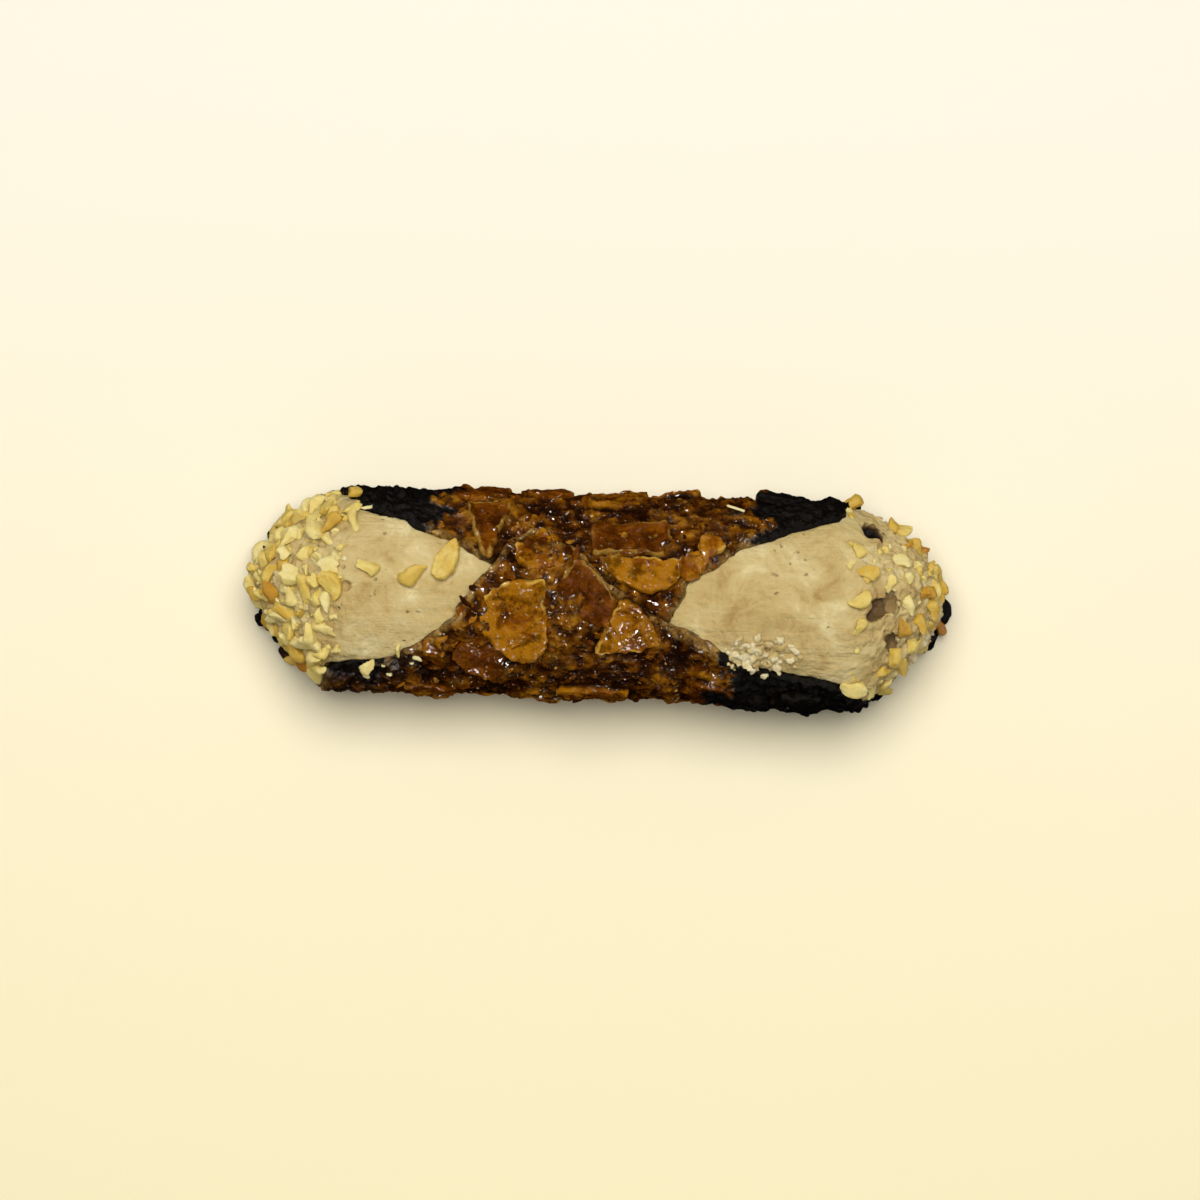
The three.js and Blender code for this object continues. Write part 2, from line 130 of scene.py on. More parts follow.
def apply_modifier(piece, kind, **settings):
    only(piece)
    modifier = piece.modifiers.new(kind.lower(), kind)
    for key, value in settings.items():
        setattr(modifier, key, value)
    bpy.ops.object.modifier_apply(modifier=modifier.name)


def freeze(piece):
    """Moves the object's place, turn and size into its mesh."""
    only(piece)
    bpy.ops.object.transform_apply(location=True, rotation=True, scale=True)


def join(pieces, name):
    """Makes one piece of several, each with its place already in its mesh."""
    bpy.ops.object.select_all(action="DESELECT")
    for piece in pieces:
        piece.select_set(True)
    bpy.context.view_layer.objects.active = pieces[0]
    bpy.ops.object.transform_apply(location=True, rotation=True, scale=True)
    bpy.ops.object.join()
    pieces[0].name = name
    pieces[0].data.name = name
    return pieces[0]


def own_copy(piece):
    """A copy with its own mesh."""
    made = piece.copy()
    made.data = piece.data.copy()
    bpy.context.collection.objects.link(made)
    return made


def points_of(piece):
    points = np.empty(len(piece.data.vertices) * 3)
    piece.data.vertices.foreach_get("co", points)
    return points.reshape(-1, 3)


def select_points(piece, test):
    """In edit mode, selects the vertices whose place passes the test."""
    mesh = bmesh.from_edit_mesh(piece.data)
    for vertex in mesh.verts:
        vertex.select = test(vertex.co)
    mesh.select_flush_mode()
    bmesh.update_edit_mesh(piece.data)


def paint(piece, name, values):
    """Keeps one number for each vertex, which a material can read by name."""
    if name not in piece.data.attributes:
        piece.data.attributes.new(name, "FLOAT", "POINT")
    values = np.broadcast_to(values, len(piece.data.vertices)).astype("f")
    piece.data.attributes[name].data.foreach_set("value", values)


def weigh(piece, name, weights):
    """Keeps one weight for each vertex, which a modifier can read by name."""
    group = piece.vertex_groups.new(name=name)
    for index, weight in enumerate(weights):
        group.add([index], float(weight), "REPLACE")


def cut(way, reach):
    """In edit mode, cuts off what lies beyond a plane that faces this way, and closes the cut."""
    bpy.ops.mesh.select_all(action="SELECT")
    bpy.ops.mesh.bisect(plane_co=way * reach, plane_no=way, clear_outer=True, use_fill=True)


def draws(seed):
    """A repeatable stream of numbers from low to high."""
    state = seed

    def draw(low=0.0, high=1.0):
        nonlocal state
        state = (state + 0x6D2B79F5) & 0xFFFFFFFF
        t = ((state ^ (state >> 15)) * (1 | state)) & 0xFFFFFFFF
        t = ((t + (t ^ (t >> 7)) * (61 | t)) & 0xFFFFFFFF) ^ t
        return low + (high - low) * (t ^ (t >> 14)) / 2**32

    return draw


def smooth_step(value, low, high):
    share = np.clip((value - low) / (high - low), 0, 1)
    return share * share * (3 - 2 * share)


def crumple(piece, size, height, ridged=False, depth=2, **settings):
    """Displaces a piece by a cloudy pattern with features of about this size; size and height are in mm."""
    pattern = bpy.data.textures.new("clouds", "CLOUDS")
    pattern.noise_scale = size * MM
    pattern.noise_depth = depth
    pattern.noise_type = "HARD_NOISE" if ridged else "SOFT_NOISE"
    settings = {"texture_coords": "LOCAL", **settings}
    apply_modifier(piece, "DISPLACE", texture=pattern, strength=height * MM, **settings)


# %% [markdown]
# ## How a place on the roll is written
# A place on the wafer is (x, turn). x runs along the tube, and turn is the angle round it from the underside,
# positive on the near side and negative on the far side, so both flaps reach the top at 180 degrees. On the flat
# disc the same turn is a distance, because rolling only bends the disc and doesn't stretch it.

# %% Sizes of the roll and the outline of its two flaps
TUBE_RADIUS = 16.9 * MM  # outside of the plain wafer at its waist
WAFER = 2.5 * MM
LAP_PRESS = 0.25 * MM
LAP_RAISE = WAFER - LAP_PRESS  # how high the near flap lies on the far one
LIFT_FROM = 138
LIFT_TO = 166
WAIST_FLARE = 0.05
END_TAPER = 0.022
MOUTH_X = 45 * MM
FLAT_CUT = 0.6 * MM
PRESSED_CLEAR = 0.03 * MM  # what would reach below this height is pressed to a hundredth of its depth
PRESSED_SHARE = 0.01
CARAMEL_CLEAR = 0.1 * MM  # the roll rests on its slices, and the caramel between them is this far off the table

# Edges of the two flaps as (turn, x in mm), from the underside to the flap's tip.
NEAR_LEFT = [
    (0, -58.5), (11, -57.8), (20, -57), (30, -54.7), (42, -52.5), (55, -48.5), (75, -46.5), (100, -46),
    (120, -45.5), (131, -43), (135, -36.5), (141, -32.5), (149, -29.5), (160, -25.7), (168, -23.6),
    (180, -21.3), (193, -19), (203, -16), (212, -13.7), (216, -12),
]
NEAR_RIGHT = [
    (0, 59.5), (8, 59.2), (16, 58), (30, 54.2), (40, 51.4), (50, 50), (57, 48.8), (75, 46), (95, 44.8),
    (118, 44), (127, 41.5), (131, 37), (134, 31.5), (138, 25), (143, 22), (150, 20.3), (155, 17.6),
    (161, 14.3), (168, 11), (174, 7.4), (184, 2.8), (198, -1.5), (208, -6), (216, -10.5),
]
FAR_LEFT = [
    (0, -58.5), (20, -57.2), (30, -55.8), (48, -51.4), (60, -48), (90, -43.5), (115, -41), (127, -39.5),
    (131, -36.5), (134, -33), (141, -30), (147, -26), (154, -22.5), (160, -19.5), (172, -12),
    (186, -2), (196, 4.5), (200, 7.5),
]
FAR_RIGHT = [
    (0, 59.5), (12, 58.6), (25, 56), (40, 52), (55, 47), (75, 43.2), (90, 41.8), (108, 41), (121, 40),
    (131, 35.5), (136, 31.5), (144, 27), (149, 23), (157, 20.2), (162, 18.3), (169, 15.6), (175, 14.6),
    (182, 13.3), (189, 12.6), (196, 11.4), (200, 9.5),
]
NEAR_TIP = 216
FAR_TIP = 200


def smooth_line(points):
    """A dense smooth line through the points, for np.interp."""
    p = np.array(points, float)
    at = np.linspace(0, len(p) - 1, 12 * len(p) + 1)
    i = np.minimum(at.astype(int), len(p) - 1)
    t = (at - i)[:, None]
    before, here, after, beyond = (p[np.clip(i + k, 0, len(p) - 1)] for k in (-1, 0, 1, 2))
    v0, v1 = (after - before) / 2, (beyond - here) / 2
    line = (2 * here - 2 * after + v0 + v1) * t**3 + (3 * after - 3 * here - 2 * v0 - v1) * t**2 + v0 * t + here
    return np.maximum.accumulate(line[:, 0]), line[:, 1] * MM


EDGES = {
    1: (smooth_line(NEAR_LEFT), smooth_line(NEAR_RIGHT)),
    -1: (smooth_line(FAR_LEFT), smooth_line(FAR_RIGHT)),
}


def edges_at(turn):
    """The wafer's left and right x at a turn."""
    return [float(np.interp(abs(turn), *line)) for line in EDGES[1 if turn >= 0 else -1]]


def covered(x, turn):
    left, right = edges_at(turn)
    return left < x < right and -FAR_TIP < turn < NEAR_TIP


def lift_at(turn):
    """How far the wafer stands off the tube: only the near flap rises, where it laps."""
    return LAP_RAISE * float(smooth_step(turn, LIFT_FROM, LIFT_TO))


def flare_at(x):
    return 1 + WAIST_FLARE * (x / MOUTH_X) ** 2 + END_TAPER * (x / MOUTH_X)


def flat_z(turn):
    return math.radians(turn) * TUBE_RADIUS


def outward(turn):
    return Vector((0, -math.sin(math.radians(turn)), -math.cos(math.radians(turn))))


def on_roll(x, turn, radius=TUBE_RADIUS):
    """The place of (x, turn) on the finished roll."""
    axis = Vector((x, 0, TUBE_RADIUS * flare_at(x) - FLAT_CUT))
    return axis + radius * flare_at(x) * outward(turn)


print("the flat disc is", round((flat_z(NEAR_TIP) + flat_z(FAR_TIP)) / MM), "by 118 mm")

# %% [markdown]
# ## Rolling and flaring
# A flat thing that stands in the XZ plane is rolled by Simple Deform's Bend round the X axis. It bends the whole
# height of the mesh by one angle, so the angle is worked out from that height and the tube's radius. The tube is
# then widened towards its mouths by a lattice, a cage of points that carries the mesh along with it.

# %% Roll, flare and set down
FLARE_COLUMNS = 27
FLARE_CAGE = 130 * MM


def roll_up(piece):
    heights = points_of(piece)[:, 2]
    angle = (heights.max() - heights.min()) / TUBE_RADIUS
    apply_modifier(piece, "SIMPLE_DEFORM", deform_method="BEND", deform_axis="X", angle=angle)
    piece.rotation_euler = (math.radians(90), 0, 0)
    freeze(piece)


def flare_out(piece, drift=lambda x: 0):
    """Widens the tube by flare_at and shifts it sideways by drift, both along x."""
    bpy.ops.object.add(type="LATTICE")
    cage = bpy.context.object
    cage.data.points_u, cage.data.points_v, cage.data.points_w = FLARE_COLUMNS, 2, 2
    cage.data.interpolation_type_u = "KEY_LINEAR"
    cage.scale = (FLARE_CAGE, FLARE_CAGE, FLARE_CAGE)
    for point in cage.data.points:
        x = point.co.x * FLARE_CAGE
        point.co_deform.y = point.co.y * flare_at(x) + drift(x) / FLARE_CAGE
        point.co_deform.z = point.co.z * flare_at(x)
    bpy.context.view_layer.update()
    apply_modifier(piece, "LATTICE", object=cage)
    bpy.data.objects.remove(cage)


def flatten_below_table(piece, table=PRESSED_CLEAR):
    """Presses what is below this height almost flat. Dead flat, two bits could lie in one plane and flicker."""
    only(piece)
    bpy.ops.object.mode_set(mode="EDIT")
    select_points(piece, lambda place: place.z < table)
    bpy.ops.transform.resize(value=(1, 1, PRESSED_SHARE), center_override=(0, 0, table))
    bpy.ops.object.mode_set(mode="OBJECT")


def set_down(piece, table=PRESSED_CLEAR):
    """Lowers the roll to the table and flattens what would reach below it."""
    piece.location.z = -FLAT_CUT
    freeze(piece)
    flatten_below_table(piece, table)


# %% [markdown]
# ## The wafer, as a flat disc
# The disc is a grid. Each of its rows is moved and widened until the grid has the disc's broken outline. Cutting
# the outline out of a plain sheet would be quicker, but it leaves odd faces along the cut. With rows the faces stay
# even, so the lumps that come next are even too.

# %% The disc's outline
ROW_STEP = 4  # degrees of turn
WAFER_COLUMNS = 94
EDGE_JAG = 0.4 * MM
CHOCOLATE_LIP = 0.8 * MM  # the dip thickens the rim below the cream
LIP_TURNS = (50, 90)  # between which the lip fades out


def flat_grid(name, columns, turn_from, turn_to):
    """A grid one metre wide that stands in the XZ plane, with a row at each step of turn."""
    bpy.ops.object.select_all(action="DESELECT")
    bpy.ops.mesh.primitive_grid_add(x_subdivisions=columns, y_subdivisions=(turn_to - turn_from) // ROW_STEP, size=1)
    grid = bpy.context.object
    grid.name = name
    grid.rotation_euler = (math.radians(90), 0, 0)
    grid.scale = (1, flat_z(turn_to - turn_from), 1)
    grid.location.z = flat_z(turn_to + turn_from) / 2
    freeze(grid)
    return grid


def rows_of(mesh):
    """The rows of a flat grid in edit mode, as {turn: vertices}."""
    rows = {}
    for vertex in mesh.verts:
        vertex.select = False
        rows.setdefault(round(math.degrees(vertex.co.z / TUBE_RADIUS)), []).append(vertex)
    return rows


def select_row(row, on):
    for vertex in row:
        vertex.select = on


wafer = flat_grid("wafer_roll", WAFER_COLUMNS, -FAR_TIP, NEAR_TIP)
bpy.ops.object.mode_set(mode="EDIT")
mesh = bmesh.from_edit_mesh(wafer.data)
rows = rows_of(mesh)
draw = draws(7)
outline = []  # points along the disc's edge, to measure from later
for turn, row in sorted(rows.items()):
    left, right = edges_at(turn)
    lip = CHOCOLATE_LIP * (1 - float(smooth_step(abs(turn), *LIP_TURNS)))
    left -= lip + EDGE_JAG * (math.sin(0.31 * turn + 1) + draw(-0.6, 0.6))
    right += 0.4 * lip + EDGE_JAG * (math.sin(0.31 * turn + 1) + draw(-0.6, 0.6))
    select_row(row, True)
    bpy.ops.transform.resize(value=(right - left, 1, 1), center_override=(0, 0, row[0].co.z))
    bpy.ops.transform.translate(value=((left + right) / 2, -lift_at(turn), 0))
    select_row(row, False)
    outline.append((left, right, flat_z(turn)))
bpy.ops.object.mode_set(mode="OBJECT")
print("rows of the disc:", len(rows))

# %% [markdown]
# ## Thickness and even faces
# Solidify gives the disc its thickness. The rows are squeezed where the disc is narrow and slanted where its edge
# runs inwards, and lumps made on such faces would look like combed hair. A voxel remesh lays small square faces
# over the whole slab first, and rounds its edge a little, as boiling sugar does.

# %% Thickness and even faces
WAFER_VOXEL = 0.47 * MM

apply_modifier(wafer, "SOLIDIFY", thickness=WAFER, offset=-1)
apply_modifier(wafer, "REMESH", mode="VOXEL", voxel_size=WAFER_VOXEL)
print("slab faces:", len(wafer.data.polygons), "spans", np.ptp(points_of(wafer), axis=0).round(4))

# %% [markdown]
# ## Where the chocolate reaches, and where the edge is
# Both ends were dipped, so the chocolate ends at a slanting line on each side. The lumps differ there, so the line
# is needed twice: here as a vertex group that guides the shaping, and later as a mask in the materials. The broken
# edge is marked too, since it is ragged and paler than the face.

# %% Mark the dipped ends, the outside and the edge
DIP_LEFT = -30 * MM  # where the left dip ends at y = 0, and how far it slants with y
DIP_LEFT_SLANT = 0.235
DIP_RIGHT = 23.5 * MM
DIP_RIGHT_SLANT = 0.2
DIP_FADE = 3 * MM
DIP_RAGGED = 4.5 * MM  # how far the dip's line strays, and over what length
DIP_RAGGED_SIZE = 5 * MM
DIP_RIM = (-0.7 * MM, 0.9 * MM)  # from bare wafer to full chocolate
THIN_DIP = (-15 * MM, -9 * MM)  # y between which the left dip goes from thin to full
THIN_SHARE = 0.4
RAGGED_REACH = 3.5 * MM  # how far in from its edge the wafer is ragged
EDGE_REACH = 1.3 * MM
FLAP_SHADOW_REACH = 1.7 * MM
FLAP_SHADOW_UP_TO = -130  # the turn where it ends on the far side


def dip_share(place):
    """0 on bare wafer, 1 under chocolate, with a ragged line between; the front of the left dip is thin."""
    ragged = DIP_RAGGED * clouds.fractal(place / DIP_RAGGED_SIZE, 0.7, 2.1, 5)
    x = place.x + ragged
    left = smooth_step(DIP_LEFT + DIP_LEFT_SLANT * place.y - x, *DIP_RIM)
    left *= THIN_SHARE + (1 - THIN_SHARE) * smooth_step(place.y + 1.5 * ragged, *THIN_DIP)
    right = smooth_step(x - DIP_RIGHT - DIP_RIGHT_SLANT * place.y, *DIP_RIM)
    return float(max(left, right))


def paint_dip(piece):
    paint(piece, "dip", [dip_share(vertex.co) for vertex in piece.data.vertices])


def edge_tree(outline):
    """All points of the disc's edge, close together, to find how far a place is from it."""
    points = []
    for (l0, r0, z0), (l1, r1, z1) in zip(outline, outline[1:]):
        for share in np.linspace(0, 1, 12):
            z = z0 + (z1 - z0) * share
            points += [(l0 + (l1 - l0) * share, 0, z), (r0 + (r1 - r0) * share, 0, z)]
    for left, right, z in (outline[0], outline[-1]):
        points += [(x, 0, z) for x in np.linspace(left, right, 60)]
    tree = kdtree.KDTree(len(points))
    for index, point in enumerate(points):
        tree.insert(point, index)
    tree.balance()
    return tree


flat = points_of(wafer)
turns = np.degrees(flat[:, 2] / TUBE_RADIUS)
side = -TUBE_RADIUS * np.sin(np.radians(turns))
edge_points = edge_tree(outline)
from_edge = np.array([edge_points.find((x, 0, z))[2] for x, _, z in flat])
lifts = LAP_RAISE * smooth_step(turns, LIFT_FROM, LIFT_TO)
marks = {
    "dipped": np.maximum(
        smooth_step(DIP_LEFT + DIP_LEFT_SLANT * side - flat[:, 0], -DIP_FADE, DIP_FADE),
        smooth_step(flat[:, 0] - DIP_RIGHT - DIP_RIGHT_SLANT * side, -DIP_FADE, DIP_FADE),
    ),
    "outside": 1 - smooth_step(flat[:, 1] + lifts, 0.1 * WAFER, 0.8 * WAFER),
    "ragged": 1 - smooth_step(from_edge, 0, RAGGED_REACH),
}
marks["dipped"] *= marks["outside"]
for name, weights in marks.items():
    weigh(wafer, name, weights)
paint(wafer, "edge", 1 - smooth_step(from_edge, 0.3 * EDGE_REACH, EDGE_REACH))

print("share of the wafer that is dipped:", round(float(marks["dipped"].mean()), 2))

# %% Paint the near flap's shadow on the far flap
# On the far flap, the strip beside the near flap's edge lies in its shadow, and that shadow is painted on as a dark
# strip.
near_turns = turns + 360
near_edges = np.array([edges_at(min(turn, NEAR_TIP)) for turn in near_turns])
gap = np.minimum(np.abs(flat[:, 0] - near_edges[:, 0]), np.abs(flat[:, 0] - near_edges[:, 1]))
gap += TUBE_RADIUS * np.radians(np.maximum(near_turns - NEAR_TIP, 0))
flap_shadow = np.where(turns < FLAP_SHADOW_UP_TO, 1 - smooth_step(gap, 0.2 * MM, FLAP_SHADOW_REACH), 0)
# A painted shadow: the caramel material darkens this strip of the far flap almost to black.
paint(wafer, "flap_shadow", flap_shadow)
print("share of the wafer under syrup:", round(float(flap_shadow.mean()), 2))

# %% [markdown]
# ## Crags and the roll
# Caramel boils as it bakes, so its face is all lumps and burst bubbles, and its edge is ragged. Displace modifiers
# make them in real geometry, which shows at the silhouette as a bump in the material can't. Only then is the disc
# rolled, flared and set down.

# %% Lumps and the roll
# size and height of the lumps in mm, whether they are ridged, and where they are
LUMPS = [
    (9, 1.5, False, "outside"), (3.6, 1.6, True, "outside"), (1.5, 1.0, False, "outside"), (1.9, 1.0, True, "dipped"),
]

for way, size in (("X", 3.6), ("Z", 3.0)):
    crumple(wafer, size, 1.5, depth=1, direction=way, vertex_group="ragged")
smooth_y = points_of(wafer)[:, 1]
for size, height, ridged, where in LUMPS:
    crumple(wafer, size, -height, ridged, direction="Y", mid_level=0.42, vertex_group=where)
# The height of the lumps is kept, so that the caramel can be painted darker in their hollows and paler on their
# crests: painted shade.
relief_for_shade = (smooth_y - points_of(wafer)[:, 1]) / MM
paint(wafer, "relief_for_shade", smooth_step(relief_for_shade, *np.percentile(relief_for_shade[marks["outside"] > 0.9], (3, 97))))
roll_up(wafer)
flare_out(wafer)
set_down(wafer, CARAMEL_CLEAR)
bpy.ops.object.shade_smooth()
print("wafer faces:", len(wafer.data.polygons), "box:", np.ptp(points_of(wafer), axis=0).round(4))

# %% [markdown]
# ## A sliced almond
# A sliced almond is a thin plate, pointed at one end. It is modelled once, one unit long and wide: a disc whose
# columns are narrowed towards its point, then extruded down. Scaling by column keeps the outline a smooth curve.

# %% Model one slice
ALMOND_NARROWING = 0.3
SLICE_CORNERS = 28

bpy.ops.object.select_all(action="DESELECT")
bpy.ops.mesh.primitive_circle_add(vertices=SLICE_CORNERS, radius=0.5, fill_type="NGON")
unit_slice = bpy.context.object
unit_slice.name = "unit_slice"
bpy.ops.object.mode_set(mode="EDIT")
for x in sorted({round(v.co.x, 5) for v in bmesh.from_edit_mesh(unit_slice.data).verts}):
    select_points(unit_slice, lambda place: abs(place.x - x) < 1e-4)
    bpy.ops.transform.resize(value=(1, 1 - 2 * ALMOND_NARROWING * x, 1), center_override=(0, 0, 0))
bpy.ops.mesh.select_all(action="SELECT")
bpy.ops.mesh.extrude_region_move(TRANSFORM_OT_translate={"value": (0, 0, -1)})
bpy.ops.mesh.select_all(action="SELECT")
bpy.ops.mesh.normals_make_consistent(inside=False)
bpy.ops.object.mode_set(mode="OBJECT")
print("unit slice faces:", len(unit_slice.data.polygons))

# %% [markdown]
# ## Lay the slices in the caramel
# The slices on top are laid one by one, because they are what the eye goes to. The others are spread evenly: each
# is put in the best of several random places. A slice is stiff and stays flat when the disc is rolled, so the
# copies are placed on the finished roll and not rolled with the disc.

# %% Places of the slices
# x, turn, length, width, heading, how far it is raised, tilt and tone, in mm and degrees; tone 0 is dark. Then its
# cuts: the way each faces, in degrees from the slice's point, and how far from the middle it passes.
TOP_SLICES = [
    (-13.2, 167.5, 16, 13, -80, 2.3, 3, 0.8, (84, 4.6), (180, 6.2), (205, 6.4)),
    (-9.8, 202.5, 9.5, 7.5, -25, 2.2, -5, 0.6, (150, 3.4)),
    (-1.8, 181, 13, 8, -50, 2.2, 5, 0.25, (90, 3.2), (200, 5.2)),
    (5.2, 153, 18.5, 11.5, 96, 2.1, -3, 0.72, (184, 0.2), (62, 5.2)),
    (-19, 142, 9.5, 8.5, -60, 0.9, 0, 0.35),
    (6.7, -158, 13.8, 11, 178, 0.4, 0, 0.9, (270, 0.3)),
    (5.6, -145.5, 21, 14, 1, 0.3, 0, 0.3, (0, 6), (180, 7), (92, 3.4), (270, 2.9)),
    (-19.3, -136, 15, 12, -90, 0.5, 0, 0.35, (285, 2.3), (74, 3.0), (180, 4.5)),
    (-20.5, -102, 10, 8, 10, 0.5, 0, 0.3),
    (-9.5, -96, 9, 7, 175, 0.4, 0, 0.3),
    (31, -97, 7, 9, 90, 0.35, 10, 0.2),
    (-1, 111, 13, 7, 4, 0.6, 14, 0.6, (200, 5)),
    (-21.4, 172, 5, 3.8, 75, 1.9, 0, 0.6),
    (-24.6, 153, 4.6, 2.8, 15, 0.8, 8, 1.0),
    (-27, 147, 4.4, 3.4, 130, 0.4, 0, 0.6),
    (15.5, -160, 6, 4.5, 40, 0.3, 0, 0.7),
    (18.5, -150, 5.5, 4.5, 120, 0.3, 0, 0.6, (180, 1.2)),
]
SLICE_COUNT = 25
SLICE_TRIES = 40
SLICE_SPACING = 6.3 * MM
SLICES_TO_X = 48 * MM
SLICES_TO_TURN = 150
DIPPED_FROM = 36 * MM  # beyond this x fewer slices show under the chocolate
DIPPED_SHARE = 0.3


def has_room(x, turn, length):
    reach = 0.5 * length + MM
    return all(
        covered(x + reach * math.cos(a), turn + math.degrees(reach * math.sin(a) / TUBE_RADIUS))
        for a in np.radians(range(0, 360, 30))
    )


def scattered_slices():
    draw = draws(11)
    placed = [on_roll(x * MM, turn) for x, turn, *_ in TOP_SLICES]
    slices = []
    while len(slices) < SLICE_COUNT:
        length = draw(11, 15)
        best = None
        for _ in range(SLICE_TRIES):
            x, turn = draw(-SLICES_TO_X, SLICES_TO_X), draw(-SLICES_TO_TURN, SLICES_TO_TURN)
            if not has_room(x, turn, length * MM):
                continue
            if abs(x) > DIPPED_FROM and draw() > DIPPED_SHARE:
                continue
            spot = on_roll(x, turn)
            room = min((p - spot).length for p in placed)
            if best is None or room > best[0]:
                best = (room, spot, x, turn)
        if best[0] < SLICE_SPACING:
            break
        placed.append(best[1])
        slices.append((
            best[2] / MM, best[3], length, draw(7.5, 10), draw(0, 360), 0, draw(-7, 7), 0.15 + 0.5 * (length % 1),
            *(((180, 0.5 * length * draw(0.2, 0.6)),) if draw() < 0.5 else ()),
        ))
    return slices


other_slices = scattered_slices()
print("slices laid by hand:", len(TOP_SLICES), "and spread:", len(other_slices))

# %% [markdown]
# ## Break and lay each slice
# Each copy is scaled and broken by planes, and a voxel remesh turns the result into small even faces with a soft
# rim. Displacing the plain copy would crumple it, because its top is one face with many corners.

# %% Copy, break and lay each slice
SLICE_THICK = 1.7 * MM
SLICE_PROUD = 0.25 * MM
SLICE_VOXEL = 0.38 * MM


def lay(piece, place, turn, heading=0.0, tilt=0.0):
    """Sets a piece that is modelled with +Z up on the roll's surface."""
    out = outward(turn)
    basis = Matrix((Vector((1, 0, 0)), out.cross(Vector((1, 0, 0))), out)).transposed().to_4x4()
    spin = Matrix.Rotation(math.radians(heading), 4, "Z") @ Matrix.Rotation(math.radians(tilt), 4, "X")
    piece.matrix_world = Matrix.Translation(place) @ basis @ spin @ Matrix.Diagonal((*piece.scale, 1))


def laid_slice(x, turn, length, width, heading, raised, tilt, tone, *cuts, thick=SLICE_THICK):
    piece = own_copy(unit_slice)
    piece.scale = (length * MM, width * MM, thick)
    freeze(piece)
    angles = [(math.radians(way), reach) for way, reach in cuts]
    planes = [(Vector((math.cos(angle), math.sin(angle), 0)), reach * MM) for angle, reach in angles]
    bpy.ops.object.mode_set(mode="EDIT")
    for way, reach in planes:
        cut(way, reach)
    bpy.ops.object.mode_set(mode="OBJECT")
    apply_modifier(piece, "REMESH", mode="VOXEL", voxel_size=SLICE_VOXEL)
    apply_modifier(piece, "SMOOTH", factor=0.5, iterations=3)
    at = points_of(piece) / MM
    half_width = 0.5 * width * (1 - 2 * ALMOND_NARROWING * np.clip(at[:, 0] / length, -0.5, 0.5))
    outer = np.hypot(at[:, 0] / (0.5 * length), at[:, 1] / half_width)
    rim = 0.5 * smooth_step(outer, 0.84, 1.0)
    for way, reach in planes:
        rim = np.maximum(rim, 1 - smooth_step(reach / MM - at @ np.array(way), 0.2, 1.1))
    paint(piece, "rim", rim)
    paint(piece, "outer", np.minimum(outer, 1))
    paint(piece, "sunk", smooth_step(-at[:, 2], 0.45, 1.2))
    paint(piece, "tone", tone)
    lay(piece, on_roll(x * MM, turn) + (raised * MM + SLICE_PROUD) * outward(turn), turn, heading, tilt)
    return piece


laid = [laid_slice(*row) for row in TOP_SLICES + other_slices]
slices = join(laid, "almond_slices")
for way, size, height in (("X", 2.6, 1.5), ("Y", 2.4, 1.5), ("NORMAL", 5, 0.7), ("NORMAL", 1.5, 0.6)):
    crumple(slices, size, height, direction=way)
flatten_below_table(slices)
bpy.ops.object.shade_smooth()
print("slice faces:", len(slices.data.polygons))

# %% [markdown]
# ## The cream
# The cream is modelled like the wafer, as a grid of rows that is rolled all the way round, with its two ends drawn
# in to a nose. Its ends follow the wafer's rim below, where the filling bulges over it. A voxel remesh then gives
# it small even faces, because soft forms need as much detail at a nose as along the side.

# %% The cream, as a flat form
CREAM_RADIUS = 16.1 * MM
CREAM_COLUMNS = 44
DOME_COLUMNS = 10
RIM_INSET = 2.5 * MM  # the cream starts to round off this far inside the wafer's rim
RIM_TURN = 112  # above this turn the mouth opens, and the rounding stays where it is
NOSE_LEFT = -58.8 * MM
NOSE_RIGHT = 57.8 * MM
POINTED_LEFT = 1.42  # above 1, an end is more pointed than an ellipse
POINTED_RIGHT = 1.28
DRIFT_LEFT = 1.8 * MM  # how far a nose lies to the far side
DRIFT_RIGHT = 2.4 * MM
DRIFT_X = (40 * MM, 60 * MM)  # from the middle, where the drift starts and where it is full
VOXEL = 0.5 * MM


def shoulder(turn, end):
    """Where the cream starts to round off; end is 0 on the left and 1 on the right."""
    rim = edges_at(math.copysign(min(abs(turn), RIM_TURN), turn))[end]
    middle = (edges_at(RIM_TURN)[end] + edges_at(-RIM_TURN)[end]) / 2
    rim += (middle - rim) * float(smooth_step(abs(turn), RIM_TURN, 180))
    return rim + (RIM_INSET if end == 0 else -RIM_INSET)


def fall_of(column):
    """90 degrees on the body, falling to 0 at a nose."""
    return 90 * min(column, CREAM_COLUMNS - column, DOME_COLUMNS) / DOME_COLUMNS


cream = flat_grid("cream_filling", CREAM_COLUMNS, -180, 180)
bpy.ops.object.mode_set(mode="EDIT")
mesh = bmesh.from_edit_mesh(cream.data)
columns = {}
for vertex in mesh.verts:
    vertex.select = False
    columns.setdefault(round((vertex.co.x + 0.5) * CREAM_COLUMNS), []).append(vertex)
for column, line in sorted(columns.items()):
    pointed = POINTED_LEFT if column < CREAM_COLUMNS / 2 else POINTED_RIGHT
    fall = math.radians(fall_of(column))
    body_share = (column - DOME_COLUMNS) / (CREAM_COLUMNS - 2 * DOME_COLUMNS)
    on_body = DOME_COLUMNS <= column <= CREAM_COLUMNS - DOME_COLUMNS
    x = 2 * body_share - 1 if on_body else math.copysign(1, column - DOME_COLUMNS) * (1 + math.cos(fall) ** pointed)
    depth = TUBE_RADIUS - CREAM_RADIUS * math.sin(fall) ** pointed
    select_row(line, True)
    bpy.ops.transform.translate(value=(x - line[0].co.x, depth, 0))
    select_row(line, False)
